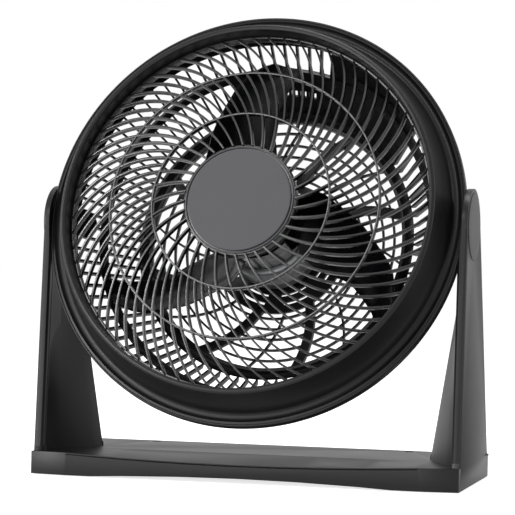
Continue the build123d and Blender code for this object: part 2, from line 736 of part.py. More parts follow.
# pivot bosses, trimmed to the inside of the cage
with BuildPart() as pivot_bosses:
    for side in (1, -1):
        with BuildSketch(pivot_plane(side, SLEEVE_R - 6)):
            RegularPolygon(HEAD_BOSS_R, SMALL_SIDES)
    extrude(amount=HEAD_BOSS_X - SLEEVE_R + 6)
    add(cage_inside.part.moved(HEAD.location), mode=Mode.SUBTRACT)

# speed-control pod: a box standing on the plain part of the cage, with four screw bosses
with BuildPart() as pod_box:
    with BuildSketch(POD.offset(-SLAT_DEPTH)):
        RectangleRounded(POD_WIDTH, POD_LENGTH, POD_ROUND)
    extrude(amount=POD_HEIGHT + SLAT_DEPTH)
    with BuildSketch(POD.offset(POD_FLOOR)):
        RectangleRounded(POD_WIDTH - 2 * POD_WALL, POD_LENGTH - 2 * POD_WALL, POD_ROUND - POD_WALL)
    extrude(amount=POD_HEIGHT, mode=Mode.SUBTRACT)
    with BuildSketch(POD.offset(POD_FLOOR - 1)):
        with GridLocations(POD_WIDTH - 2 * POD_SCREW_INSET, POD_LENGTH - 2 * POD_SCREW_INSET, 2, 2):
            RegularPolygon(POD_SCREW_INSET - POD_WALL + 0.4, 8)
    extrude(amount=POD_HEIGHT - POD_FLOOR + 1)
    with BuildSketch(POD.offset(POD_FLOOR + 2)):
        with GridLocations(POD_WIDTH - 2 * POD_SCREW_INSET, POD_LENGTH - 2 * POD_SCREW_INSET, 2, 2):
            RegularPolygon(SCREW_R, 6)
    extrude(amount=POD_HEIGHT, mode=Mode.SUBTRACT)

with BuildPart() as rear_housing:
    add([piece.part.moved(HEAD.location) for piece in (cage, rear_flange, back_face)])
    add([pivot_bosses.part, pod_box.part])
    for side in (1, -1):
        with BuildSketch(pivot_plane(side, BOLT_SEAT_X - BOLT_LENGTH)):
            Circle(BOLT_R + BOLT_FIT)
    extrude(amount=BOLT_LENGTH, mode=Mode.SUBTRACT)
finish(rear_housing, "rear_housing")

# screws from behind the flange into the shroud
with BuildPart() as housing_screws:
    with BuildSketch(HEAD.offset(SPLIT_FWD - FLANGE_WALL)):
        with PolarLocations(FLANGE_SCREW_R, FLANGE_SCREWS, start_angle=30):
            RegularPolygon(SCREW_R, 6)
    extrude(amount=FLANGE_WALL + SCREW_BITE)
    with BuildSketch(HEAD.offset(SPLIT_FWD - FLANGE_WALL)):
        with PolarLocations(FLANGE_SCREW_R, FLANGE_SCREWS, start_angle=30):
            RegularPolygon(SCREW_HEAD_R, 8)
    extrude(amount=-SCREW_HEAD_H)
finish(housing_screws, "housing_screws")

# shallow round cover over the motor's wiring and screws, behind the motor plate
with BuildPart(HEAD) as motor_cover:
    add(turned([(COVER_R - 6, COVER_BACK), (COVER_R, COVER_BACK + 4), (COVER_R, PLATE_BACK)], MIDDLE_SIDES))
    inside = [
        (COVER_R - 6.6, COVER_BACK + COVER_WALL),
        (COVER_R - COVER_WALL, COVER_BACK + 4.8),
        (COVER_R - COVER_WALL, PLATE_BACK),
    ]
    add(turned(inside, MIDDLE_SIDES), mode=Mode.SUBTRACT)
    with BuildSketch(HEAD.offset(COVER_BACK - 1)):
        with Locations((0, -GLAND_DROP)):
            RegularPolygon(GLAND_NECK_R, TINY_SIDES)
    extrude(amount=COVER_WALL + 2, mode=Mode.SUBTRACT)
finish(motor_cover, "motor_cover")

# cable gland: a rubber bush, grooved for the cover's wall
with BuildPart() as cable_gland:
    for start, radius, length in (
        (COVER_BACK - GLAND_LENGTH, GLAND_R, GLAND_LENGTH),
        (COVER_BACK, GLAND_NECK_R, COVER_WALL),
        (COVER_BACK + COVER_WALL, GLAND_R, 1.5),
    ):
        with BuildSketch(HEAD.offset(start)):
            with Locations((0, -GLAND_DROP)):
                RegularPolygon(radius, TINY_SIDES)
        extrude(amount=length)
    with BuildSketch(HEAD.offset(COVER_BACK - GLAND_LENGTH - 1)):
        with Locations((0, -GLAND_DROP)):
            Circle(CABLE_R)
    extrude(amount=GLAND_LENGTH + COVER_WALL + 4, mode=Mode.SUBTRACT)
finish(cable_gland, "cable_gland")


# ---------------------------------------------------------------- head: motor
with BuildPart(HEAD) as motor_bell_rear:
    add(turned([(MOTOR_R, MOTOR_REAR), (MOTOR_R, STACK_REAR)], SMALL_SIDES))
    inner_r = MOTOR_R - BELL_WALL
    inside = [(inner_r, MOTOR_REAR + BELL_WALL), (inner_r, STACK_REAR + 1)]
    add(turned(inside, SMALL_SIDES), mode=Mode.SUBTRACT)
    boss_r = BUSH_R + BELL_WALL
    bush_front = MOTOR_REAR + BUSH_LENGTH + 1
    add(turned([(boss_r, MOTOR_REAR + 0.5), (boss_r, bush_front)], TINY_SIDES))
    add(turned([(BUSH_R, MOTOR_REAR + 1), (BUSH_R, bush_front + 1)], TINY_SIDES), mode=Mode.SUBTRACT)
    with BuildSketch(HEAD.offset(MOTOR_REAR)):
        with PolarLocations(MOTOR_SCREW_R, 4, start_angle=45):
            RegularPolygon(SCREW_R, 6)
    extrude(amount=BELL_WALL, mode=Mode.SUBTRACT)
finish(motor_bell_rear, "motor_bell_rear")

with BuildPart(HEAD) as motor_bell_front:
    add(turned([(MOTOR_R, STACK_FRONT), (MOTOR_R, MOTOR_FRONT - 3), (MOTOR_R - 3, MOTOR_FRONT)], SMALL_SIDES))
    inside = [
        (MOTOR_R - BELL_WALL, STACK_FRONT - 1),
        (MOTOR_R - BELL_WALL, MOTOR_FRONT - 3 - BELL_WALL / 2),
        (MOTOR_R - 3 - BELL_WALL, MOTOR_FRONT - BELL_WALL),
    ]
    add(turned(inside, SMALL_SIDES), mode=Mode.SUBTRACT)
    bush_rear = MOTOR_FRONT - BUSH_LENGTH - 1
    add(turned([(boss_r, bush_rear), (boss_r, MOTOR_FRONT - 0.5)], TINY_SIDES))
    add(turned([(BUSH_R, bush_rear - 1), (BUSH_R, MOTOR_FRONT - 1)], TINY_SIDES), mode=Mode.SUBTRACT)
    with BuildSketch(HEAD.offset(MOTOR_FRONT - BELL_WALL - 0.5)):
        RegularPolygon(SHAFT_R + 1.2, TINY_SIDES)
        with PolarLocations(27, 8):
            Rectangle(5, 12)
    extrude(amount=BELL_WALL + 1, mode=Mode.SUBTRACT)
finish(motor_bell_front, "motor_bell_front")

with BuildPart() as stator_core:
    with BuildSketch(HEAD.offset(STACK_REAR)):
        RegularPolygon(MOTOR_R, SMALL_SIDES)
        RegularPolygon(ROTOR_R + AIR_GAP, SMALL_SIDES, mode=Mode.SUBTRACT)
        with PolarLocations((ROTOR_R + AIR_GAP + 30) / 2, STATOR_SLOTS):
            Rectangle(30 - ROTOR_R, 2.2, mode=Mode.SUBTRACT)
    extrude(amount=STACK_LENGTH)
finish(stator_core, "stator_core")

with BuildPart() as stator_winding:
    for start in (STACK_REAR - WINDING_H, STACK_FRONT):
        with BuildSketch(HEAD.offset(start)):
            RegularPolygon(WINDING_OUTER_R, SMALL_SIDES)
            RegularPolygon(WINDING_INNER_R, SMALL_SIDES, mode=Mode.SUBTRACT)
    extrude(amount=WINDING_H)
finish(stator_winding, "stator_winding")

with BuildPart() as rear_bearing:
    with BuildSketch(HEAD.offset(MOTOR_REAR + 1)):
        RegularPolygon(BUSH_R, TINY_SIDES)
        Circle(SHAFT_R + RUNNING, mode=Mode.SUBTRACT)
    extrude(amount=BUSH_LENGTH)
finish(rear_bearing, "rear_bearing")

with BuildPart() as front_bearing:
    with BuildSketch(HEAD.offset(MOTOR_FRONT - 1 - BUSH_LENGTH)):
        RegularPolygon(BUSH_R, TINY_SIDES)
        Circle(SHAFT_R + RUNNING, mode=Mode.SUBTRACT)
    extrude(amount=BUSH_LENGTH)
finish(front_bearing, "front_bearing")

with BuildPart() as motor_screws:
    with BuildSketch(HEAD.offset(PLATE_BACK)):
        with PolarLocations(MOTOR_SCREW_R, 4, start_angle=45):
            RegularPolygon(SCREW_R, 6)
    extrude(amount=MOTOR_REAR + BELL_WALL - PLATE_BACK)
    with BuildSketch(HEAD.offset(PLATE_BACK)):
        with PolarLocations(MOTOR_SCREW_R, 4, start_angle=45):
            RegularPolygon(SCREW_HEAD_R, 8)
    extrude(amount=-SCREW_HEAD_H)
finish(motor_screws, "motor_screws")


# ---------------------------------------------------------------- head: speed control
with BuildPart() as pod_cover:
    with BuildSketch(POD.offset(POD_HEIGHT)):
        RectangleRounded(POD_WIDTH, POD_LENGTH, POD_ROUND)
        RegularPolygon(BUSHING_R, TINY_SIDES, mode=Mode.SUBTRACT)
        with GridLocations(POD_WIDTH - 2 * POD_SCREW_INSET, POD_LENGTH - 2 * POD_SCREW_INSET, 2, 2):
            RegularPolygon(SCREW_R, 6, mode=Mode.SUBTRACT)
    extrude(amount=POD_LID)
finish(pod_cover, "pod_cover")

with BuildPart() as pod_screws:
    with BuildSketch(POD.offset(POD_HEIGHT - SCREW_BITE)):
        with GridLocations(POD_WIDTH - 2 * POD_SCREW_INSET, POD_LENGTH - 2 * POD_SCREW_INSET, 2, 2):
            RegularPolygon(SCREW_R, 6)
    extrude(amount=SCREW_BITE + POD_LID)
    with BuildSketch(POD.offset(POD_HEIGHT + POD_LID)):
        with GridLocations(POD_WIDTH - 2 * POD_SCREW_INSET, POD_LENGTH - 2 * POD_SCREW_INSET, 2, 2):
            RegularPolygon(SCREW_HEAD_R, 8)
    extrude(amount=SCREW_HEAD_H / 2)
finish(pod_screws, "pod_screws")

with BuildPart() as speed_switch:
    with BuildSketch(POD.offset(POD_HEIGHT - SWITCH_H)):
        Rectangle(SWITCH_SIDE, SWITCH_SIDE)
    extrude(amount=SWITCH_H)
    with BuildSketch(POD.offset(POD_HEIGHT)):
        RegularPolygon(BUSHING_R, TINY_SIDES)
    extrude(amount=POD_LID + NUT_H + 0.6)
    with BuildSketch(POD.offset(POD_HEIGHT - SWITCH_H / 2)):
        Circle(SPINDLE_R + RUNNING)
    extrude(amount=POD_HEIGHT, mode=Mode.SUBTRACT)
finish(speed_switch, "speed_switch")

with BuildPart() as switch_nut:
    with BuildSketch(POD.offset(POD_HEIGHT + POD_LID)):
        RegularPolygon(NUT_R, 6)
        RegularPolygon(BUSHING_R, TINY_SIDES, mode=Mode.SUBTRACT)
    extrude(amount=NUT_H)
finish(switch_nut, "switch_nut")

with BuildPart() as capacitor:
    with BuildSketch(POD.offset(POD_FLOOR)):
        with Locations((-POD_WIDTH / 2 + POD_WALL + 7.5, 0)):
            Rectangle(12, 22)
    extrude(amount=9)
finish(capacitor, "capacitor")

with BuildPart() as terminal_block:
    with BuildSketch(POD.offset(POD_FLOOR)):
        with Locations((POD_WIDTH / 2 - POD_WALL - 7.5, 0)):
            Rectangle(10, 20)
    extrude(amount=8)
    with BuildSketch(POD.offset(POD_FLOOR + 4)):
        with Locations((POD_WIDTH / 2 - POD_WALL - 7.5, 0)):
            with GridLocations(1, 6, 1, 3):
                RegularPolygon(1.6, 6)
    extrude(amount=5, mode=Mode.SUBTRACT)
finish(terminal_block, "terminal_block")

with BuildPart() as switch_spindle:
    with BuildSketch(POD.offset(POD_HEIGHT - SWITCH_H / 2 + 0.2)):
        Circle(SPINDLE_R)
    extrude(amount=SWITCH_H / 2 + POD_LID + KNOB_LIFT + KNOB_H - 4)
finish(switch_spindle, "switch_spindle")

with BuildPart() as speed_knob:
    with BuildSketch(POD.offset(POD_HEIGHT + POD_LID + KNOB_LIFT)):
        RegularPolygon(KNOB_R, SMALL_SIDES)
    extrude(amount=KNOB_SKIRT)
    with BuildSketch(POD.offset(POD_HEIGHT + POD_LID + KNOB_LIFT + KNOB_SKIRT)):
        RegularPolygon(KNOB_R - 1.5, SMALL_SIDES)
    extrude(amount=1)
    with BuildSketch(POD.offset(POD_HEIGHT + POD_LID + KNOB_LIFT + KNOB_SKIRT)):
        Rectangle(2 * KNOB_R - 5, KNOB_GRIP)
    extrude(amount=KNOB_H - KNOB_SKIRT)
    with BuildSketch(POD.offset(POD_HEIGHT + POD_LID + KNOB_LIFT)):
        RegularPolygon(NUT_R + 1.5, TINY_SIDES)
    extrude(amount=NUT_H + 0.8, mode=Mode.SUBTRACT)
    with BuildSketch(POD.offset(POD_HEIGHT + POD_LID)):
        RegularPolygon(SPINDLE_R * FLAT_FIT, TINY_SIDES)
    extrude(amount=KNOB_LIFT + KNOB_H - 3.8, mode=Mode.SUBTRACT)
finish(speed_knob, "speed_knob")


# ---------------------------------------------------------------- fan
def blade_section(radius, azimuth, chord, pitch, camber):
    """Curved, thin section of a blade, seen from its tip: clockwise edge rearmost."""
    across = (cos(radians(azimuth)), sin(radians(azimuth)))
    plane = Plane(
        origin=spot(radius, azimuth, BLADE_FWD),
        x_dir=(-across[1], across[0], 0),
        z_dir=(across[0], across[1], 0),
    )
    c, s = cos(radians(pitch)), sin(radians(pitch))
    belly, back = [], []
    for share in BLADE_SHARES:
        along = chord / 2 * share
        bow = camber * (1 - share**2)
        skin = (camber - BLADE_WALL / 2) * (1 - share**2) - BLADE_WALL / 2
        belly.append((along * c + bow * s, along * s - bow * c))
        back.append((along * c + skin * s, along * s - skin * c))
    with BuildSketch(plane) as section:
        Polygon(*belly, *reversed(back), align=None)
    return section.sketch


with BuildPart() as blade:
    for radius, azimuth, chord, pitch, camber in BLADE_STATIONS:
        add(blade_section(radius, azimuth, chord, pitch, camber))
    loft(ruled=True)

with BuildPart() as hub_cup:
    hub_rear = HUB_FWD - HUB_LENGTH
    add(turned([(HUB_R, hub_rear), (HUB_R, HUB_FWD - 4), (HUB_R - 4, HUB_FWD)], MIDDLE_SIDES))
    inside = [(HUB_R - BLADE_WALL, hub_rear - 1), (HUB_R - BLADE_WALL, HUB_FWD - 5), (HUB_R - 5, HUB_FWD - 3)]
    add(turned(inside, MIDDLE_SIDES), mode=Mode.SUBTRACT)
    add(turned([(HUB_BOSS_R, HUB_REST), (HUB_BOSS_R, HUB_FWD - 1)], TINY_SIDES))
    with BuildSketch(Plane.XY.offset(HUB_REST - 1)):
        RegularPolygon(SHAFT_R * FLAT_FIT, TINY_SIDES)
    extrude(amount=HUB_FWD - HUB_REST + 2, mode=Mode.SUBTRACT)

with BuildPart(HEAD) as fan_blade:
    with PolarLocations(0, BLADE_COUNT, start_angle=BLADE_PHASE):
        add(blade.part)
    root_r = HUB_R - BLADE_WALL / 2
    add(turned([(root_r, hub_rear - 10), (root_r, HUB_FWD + 10)], MIDDLE_SIDES), mode=Mode.SUBTRACT)
    add(hub_cup.part)
finish(fan_blade, "fan_blade")

with BuildPart() as motor_shaft:
    with BuildSketch(HEAD.offset(MOTOR_REAR + 1.3)):
        Circle(SHAFT_R)
    extrude(amount=HUB_FWD + NUT_ENGAGE - MOTOR_REAR - 1.3)
    with BuildSketch(Plane.YZ.offset(-10)):
        with Locations((PIVOT_Y - (HUB_REST - PIN_R) * cos(TILT), PIVOT_Z + (HUB_REST - PIN_R) * sin(TILT))):
            RegularPolygon(PIN_R, 8)
    extrude(amount=20, mode=Mode.SUBTRACT)
finish(motor_shaft, "motor_shaft")

# cross pin that the hub's boss rests on
with BuildPart() as drive_pin:
    with BuildSketch(Plane.YZ.offset(-PIN_LENGTH / 2)):
        with Locations((PIVOT_Y - (HUB_REST - PIN_R) * cos(TILT), PIVOT_Z + (HUB_REST - PIN_R) * sin(TILT))):
            RegularPolygon(PIN_R, 8)
    extrude(amount=PIN_LENGTH)
finish(drive_pin, "drive_pin")

with BuildPart() as rotor_core:
    with BuildSketch(HEAD.offset(STACK_REAR - 1)):
        RegularPolygon(ROTOR_R, SMALL_SIDES)
        RegularPolygon(SHAFT_R * FLAT_FIT, TINY_SIDES, mode=Mode.SUBTRACT)
    extrude(amount=STACK_LENGTH + 2)
finish(rotor_core, "rotor_core")

with BuildPart() as blade_nut:
    with BuildSketch(HEAD.offset(HUB_FWD)):
        RegularPolygon(BLADE_NUT_R, 12)
    extrude(amount=BLADE_NUT_H)
    with BuildSketch(HEAD.offset(HUB_FWD)):
        RegularPolygon(SHAFT_R * FLAT_FIT, TINY_SIDES)
    extrude(amount=NUT_ENGAGE, mode=Mode.SUBTRACT)
finish(blade_nut, "blade_nut")
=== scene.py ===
# %% [markdown]
# # Air circulator fan
# A round guarded head tilts between the two arms of a U-shaped stand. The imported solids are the
# frame: they say how large everything is and where it turns. This script dresses them for the eye.
# Every number below is in millimetres until it is handed to Blender, which works in metres.

import json
from math import atan2, cos, degrees, hypot, pi, radians, sin, sqrt

import bmesh
import bpy
from mathutils import Matrix, Vector

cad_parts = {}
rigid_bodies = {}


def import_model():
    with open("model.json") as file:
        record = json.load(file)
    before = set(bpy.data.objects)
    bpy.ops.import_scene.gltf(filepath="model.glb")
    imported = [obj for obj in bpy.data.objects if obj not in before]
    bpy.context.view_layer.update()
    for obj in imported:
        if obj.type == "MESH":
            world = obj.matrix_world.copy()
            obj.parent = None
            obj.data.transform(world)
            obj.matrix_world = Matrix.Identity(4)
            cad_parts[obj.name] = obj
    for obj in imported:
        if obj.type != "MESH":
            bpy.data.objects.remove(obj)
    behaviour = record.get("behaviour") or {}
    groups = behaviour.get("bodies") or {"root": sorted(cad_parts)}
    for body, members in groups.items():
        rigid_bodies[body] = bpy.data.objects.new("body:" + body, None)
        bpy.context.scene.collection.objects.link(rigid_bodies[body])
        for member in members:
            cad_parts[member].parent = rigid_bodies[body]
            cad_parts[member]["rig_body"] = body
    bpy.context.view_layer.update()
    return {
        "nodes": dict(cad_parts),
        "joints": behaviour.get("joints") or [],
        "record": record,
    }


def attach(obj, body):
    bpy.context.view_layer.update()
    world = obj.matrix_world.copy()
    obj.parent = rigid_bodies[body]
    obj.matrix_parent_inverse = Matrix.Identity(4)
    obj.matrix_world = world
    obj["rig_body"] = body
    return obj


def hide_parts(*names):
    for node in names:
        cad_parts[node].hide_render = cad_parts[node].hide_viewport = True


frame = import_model()
MM = 0.001

# %% [markdown]
# ## Where the head sits
# The head is drawn upright on its own axes, as its maker would draw it: X across, Y up, Z forward
# along the fan's axis. One matrix then puts it between the arms, looking up by its resting tilt.

# %% Head frame
REST_TILT = radians(16.87)
PIVOT = Vector(frame["joints"][0]["pos_m"])
FORWARD = Vector((0, -cos(REST_TILT), sin(REST_TILT)))
UPWARD = Vector((0, sin(REST_TILT), cos(REST_TILT)))
HEAD_TURN = Matrix((Vector((1, 0, 0)), UPWARD, FORWARD)).transposed().to_4x4()
HEAD = Matrix.Translation(PIVOT) @ HEAD_TURN
print("pivot", tuple(round(v, 4) for v in PIVOT))

# %% [markdown]
# ## Camera
# The photograph looks from a little to the right of the fan's front, level with its middle, through
# a long lens. The camera's own axes are built from its turn, pitch and roll, so that no helper has
# to aim it.

# %% Camera
CAMERA_PLACE = Vector((499.43, -1772.70, 197.36)) * MM
CAMERA_TURN, CAMERA_PITCH, CAMERA_ROLL = 0.27478, 0.00206, 0.01576  # radians
LENS, SENSOR = 146.72, 36.0

level = cos(CAMERA_PITCH)
ahead = Vector((-sin(CAMERA_TURN) * level, cos(CAMERA_TURN) * level, -sin(CAMERA_PITCH)))
level_right = Vector((cos(CAMERA_TURN), sin(CAMERA_TURN), 0))
level_up = level_right.cross(ahead)
right = level_right * cos(CAMERA_ROLL) + level_up * sin(CAMERA_ROLL)
up = level_up * cos(CAMERA_ROLL) - level_right * sin(CAMERA_ROLL)

lens = bpy.data.cameras.new("photo_lens")
lens.lens, lens.sensor_width, lens.sensor_fit = LENS, SENSOR, "HORIZONTAL"
lens.clip_start, lens.clip_end = 0.05, 60
camera = bpy.data.objects.new("photo_camera", lens)
camera_turned = Matrix((right, up, -ahead)).transposed().to_4x4()
camera.matrix_world = Matrix.Translation(CAMERA_PLACE) @ camera_turned
bpy.context.scene.collection.objects.link(camera)
bpy.context.scene.camera = camera
bpy.context.scene.view_settings.view_transform = "Standard"
print("camera at", tuple(round(v, 3) for v in camera.location))

# %% [markdown]
# ## Two helpers for finishes
# Colours are picked as sRGB hex, the way a paint chart gives them, while Blender mixes light in
# linear values, so one function translates. The other adds a shader node with its settings.


# %% Colour and node helpers
def colour(hex_code):
    """Linear red, green, blue and alpha of an sRGB hex code."""
    parts = [int(hex_code[i : i + 2], 16) / 255 for i in (1, 3, 5)]
    return [p / 12.92 if p <= 0.04045 else ((p + 0.055) / 1.055) ** 2.4 for p in parts] + [1.0]


def add_node(tree, kind, settings=None, values=None, links=None):
    """One shader node with its settings, socket values and incoming links."""
    node = tree.nodes.new(kind)
    for name, value in (settings or {}).items():
        setattr(node, name, value)
    for name, value in (values or {}).items():
        node.inputs[name].default_value = value
    for name, source in (links or {}).items():
        tree.links.new(source, node.inputs[name])
    return node


# %% [markdown]
# ## Studio
# A product photograph on white: a pale floor that keeps the fan's soft shadow, a white world that
# the camera and reflections see, and six soft lamps. The world gives other surfaces much less light
# than it shows, so that black plastic stays black. The floor glows a little too, fully for the
# camera and partly for reflections, which is how it comes out white.

# %% World
WORLD_FILL = 0.3
world = bpy.data.worlds.new("white_studio")
bpy.context.scene.world = world
world.use_nodes = True
sky = world.node_tree
sky.nodes.clear()
ray = add_node(sky, "ShaderNodeLightPath").outputs
larger = {"operation": "MAXIMUM"}
mirrored = {0: ray["Is Glossy Ray"], 1: ray["Is Transmission Ray"]}
mirrored = add_node(sky, "ShaderNodeMath", larger, links=mirrored).outputs[0]
shown = {0: ray["Is Camera Ray"], 1: mirrored}
shown = add_node(sky, "ShaderNodeMath", larger, links=shown).outputs[0]
lights = []
for strength in (WORLD_FILL, 1.0):
    light = {"Color": colour("#ffffff"), "Strength": strength}
    lights.append(add_node(sky, "ShaderNodeBackground", values=light).outputs[0])
both = {0: shown, 1: lights[0], 2: lights[1]}
both = add_node(sky, "ShaderNodeMixShader", links=both).outputs[0]
add_node(sky, "ShaderNodeOutputWorld", links={"Surface": both})
print("world fill", WORLD_FILL)

# %% Floor
FLOOR_SIZE = 30.0  # metres
FLOOR_GLOW = 0.74
MIRRORED_GLOW = 0.45  # share of the glow that reflections see
half = FLOOR_SIZE / 2
floor_corners = [(-half, -half, 0), (half, -half, 0), (half, half, 0), (-half, half, 0)]
floor_mesh = bpy.data.meshes.new("studio_floor")
floor_mesh.from_pydata(floor_corners, [], [(0, 1, 2, 3)])
studio_floor = bpy.data.objects.new("studio_floor", floor_mesh)
bpy.context.scene.collection.objects.link(studio_floor)

floor_paint = bpy.data.materials.new("matt_white_floor_paint")
floor_paint.use_nodes = True
tree = floor_paint.node_tree
tree.nodes.clear()
paint = {"Base Color": colour("#f2f2f2"), "Roughness": 0.9, "Specular IOR Level": 0.1}
paint = add_node(tree, "ShaderNodeBsdfPrincipled", values=paint).outputs[0]
glow = {"Color": colour("#ffffff"), "Strength": FLOOR_GLOW}
glow = add_node(tree, "ShaderNodeEmission", values=glow).outputs[0]
lit = add_node(tree, "ShaderNodeAddShader", links={0: paint, 1: glow}).outputs[0]
ray = add_node(tree, "ShaderNodeLightPath").outputs
partly = {"operation": "MULTIPLY"}, {1: MIRRORED_GLOW}, {0: ray["Is Glossy Ray"]}
partly = add_node(tree, "ShaderNodeMath", *partly).outputs[0]
bright = {0: ray["Is Camera Ray"], 1: partly}
bright = add_node(tree, "ShaderNodeMath", larger, links=bright).outputs[0]
both = add_node(tree, "ShaderNodeMixShader", links={0: bright, 1: paint, 2: lit}).outputs[0]
add_node(tree, "ShaderNodeOutputMaterial", links={"Surface": both})
floor_mesh.materials.append(floor_paint)
print("floor", FLOOR_SIZE, "m")

# %% Lamps
LAMPS = (  # name, place and aim in metres, width and height in metres, watts
    ("key_softbox", (-0.85, -2.45, 1.75), (0, 0, 0.22), 0.6, 0.6, 24),
    ("front_left_strip", (-1.85, -2.1, 0.35), (0, 0, 0.2), 0.35, 1.0, 58),
    ("front_low_strip", (-0.55, -2.6, 0.14), (0, 0, 0.05), 1.0, 0.22, 14),
    ("left_softbox", (-2.3, -0.6, 1.1), (0, 0, 0.22), 0.4, 1.4, 18),
    ("right_softbox", (2.3, -0.2, 1.1), (0, 0, 0.22), 0.5, 1.4, 12),
    ("top_softbox", (0.1, 0.1, 2.4), (0, 0, 0.2), 1.4, 0.5, 28),
)
for name, place, aim, width, height, watts in LAMPS:
    lamp = bpy.data.lights.new(name, "AREA")
    lamp.shape, lamp.size, lamp.size_y, lamp.energy = "RECTANGLE", width, height, watts
    holder = bpy.data.objects.new(name, lamp)
    holder.location = place
    holder.rotation_euler = (Vector(aim) - Vector(place)).to_track_quat("-Z", "Y").to_euler()
    bpy.context.scene.collection.objects.link(holder)
print("lamps", len(LAMPS))

# %% [markdown]
# ## Finishes
# Nearly the whole fan is injection-moulded ABS. Its steel moulds are spark-eroded, which leaves a
# skin of fine pits, so highlights spread into soft bands. Three scales of variation keep it from
# looking like flat paint: the pits as bump, a slow drift of roughness from uneven packing in the
# mould, and a barely visible drift of colour.


# %% Moulded plastic
PACKING_MM = 55.0  # distance over which the mould's packing changes
ABS_IOR = 1.54


def moulded_plastic(name, hex_code, roughness, pit_mm, pit_depth, drift=0.05, shine=0.16):
    """Injection-moulded plastic: a pitted skin with slow drifts of roughness and colour."""
    material = bpy.data.materials.new(name)
    material.use_nodes = True
    tree = material.node_tree
    tree.nodes.clear()
    place = {"Vector": add_node(tree, "ShaderNodeTexCoord").outputs["Object"]}
    pits = {"Scale": 1 / (pit_mm * MM), "Detail": 3.0, "Roughness": 0.6}
    pits = add_node(tree, "ShaderNodeTexNoise", values=pits, links=place).outputs["Fac"]
    flow = {"Scale": 1 / (PACKING_MM * MM), "Detail": 2.0}
    flow = add_node(tree, "ShaderNodeTexNoise", values=flow, links=place).outputs["Fac"]
    gloss = {"To Min": roughness - drift, "To Max": roughness + drift}
    gloss = add_node(tree, "ShaderNodeMapRange", values=gloss, links={"Value": flow}).outputs[0]
    base = colour(hex_code)
    lighter = [min(1.0, c * 1.12 + 0.001) for c in base[:3]] + [1.0]
    tint = {"data_type": "RGBA"}, {6: base, 7: lighter}, {0: flow}
    tint = add_node(tree, "ShaderNodeMix", *tint).outputs[2]
    bump = {"Strength": 0.6, "Distance": pit_depth * MM}
    bump = add_node(tree, "ShaderNodeBump", values=bump, links={"Height": pits}).outputs[0]
    skin = add_node(
        tree,
        "ShaderNodeBsdfPrincipled",
        values={"IOR": ABS_IOR, "Specular IOR Level": shine},
        links={"Base Color": tint, "Roughness": gloss, "Normal": bump},
    )
    add_node(tree, "ShaderNodeOutputMaterial", links={"Surface": skin.outputs[0]})
    return material


# The pits are about 0.15 mm across. That is under a fifth of a pixel here, so they are drawn
# 0.9 mm across, the finest that shows as a soft grain. The guard's ribs come from a smoother mould
# than the shroud and stand, and the blades from a polished one.
BLACK_ABS = moulded_plastic("spark_textured_black_abs", "#0d0d0e", 0.4, 0.9, 0.01, shine=0.2)
GRILLE_ABS = moulded_plastic("satin_black_abs", "#0d0d0e", 0.28, 0.9, 0.004, shine=0.48)
BLADE_ABS = moulded_plastic("polished_black_abs", "#08080a", 0.16, 4.0, 0.004, 0.03, shine=0.34)
CAP_ABS = moulded_plastic("satin_charcoal_abs", "#3c3c3e", 0.46, 0.9, 0.008)
BADGE_ABS = moulded_plastic("satin_grey_abs", "#4a4a4c", 0.45, 0.9, 0.006, shine=0.05)
NYLON = moulded_plastic("natural_nylon", "#cfc9b8", 0.5, 1.2, 0.01, shine=0.4)
FOOT_RUBBER = moulded_plastic("moulded_nitrile_rubber", "#141414", 0.78, 1.0, 0.02, 0.04)
print("black ABS colour", [round(c, 4) for c in colour("#0d0d0e")[:3]])

# %% [markdown]
# The metals are hidden in the motor housing and under the stand's caps. Zinc plate on screws has a
# slightly milky, faintly yellow look. Machined steel keeps its turning marks, die-cast aluminium
# the mould's dull skin, and the winding is copper wire under clear enamel.


# %% Metal
GLOSS_SPREAD = 0.08  # how far a metal's roughness wanders from its middle


def bare_metal(name, hex_code, roughness, grain_mm, grain_depth, coat=0.0):
    """A metal surface with small marks from how it was made."""
    material = bpy.data.materials.new(name)
    material.use_nodes = True
    tree = material.node_tree
    tree.nodes.clear()
    place = {"Vector": add_node(tree, "ShaderNodeTexCoord").outputs["Object"]}
    grain = {"Scale": 1 / (grain_mm * MM), "Detail": 4.0}
    grain = add_node(tree, "ShaderNodeTexNoise", values=grain, links=place).outputs["Fac"]
    gloss = {"To Min": roughness - GLOSS_SPREAD, "To Max": roughness + GLOSS_SPREAD}
    gloss = add_node(tree, "ShaderNodeMapRange", values=gloss, links={"Value": grain}).outputs[0]
    base = colour(hex_code)
    darker = [c * 0.82 for c in base[:3]] + [1.0]
    tint = {"data_type": "RGBA"}, {6: darker, 7: base}, {0: grain}
    tint = add_node(tree, "ShaderNodeMix", *tint).outputs[2]
    bump = {"Strength": 0.5, "Distance": grain_depth * MM}
    bump = add_node(tree, "ShaderNodeBump", values=bump, links={"Height": grain}).outputs[0]
    metal = add_node(
        tree,
        "ShaderNodeBsdfPrincipled",
        values={"Metallic": 1.0, "Coat Weight": coat},
        links={"Base Color": tint, "Roughness": gloss, "Normal": bump},
    )
    add_node(tree, "ShaderNodeOutputMaterial", links={"Surface": metal.outputs[0]})
    return material


ZINC = bare_metal("zinc_plated_steel", "#b9b8b0", 0.38, 0.8, 0.004)
STEEL = bare_metal("turned_steel", "#8d8d8f", 0.32, 0.5, 0.006)
CAST_ALUMINIUM = bare_metal("die_cast_aluminium", "#a9aaac", 0.52, 1.0, 0.02)
COPPER = bare_metal("enamelled_copper_wire", "#a8532b", 0.34, 0.7, 0.05, coat=0.6)
BRONZE = bare_metal("sintered_bronze", "#8d6a3c", 0.58, 0.4, 0.02)
print("zinc colour", [round(c, 4) for c in colour("#b9b8b0")[:3]])

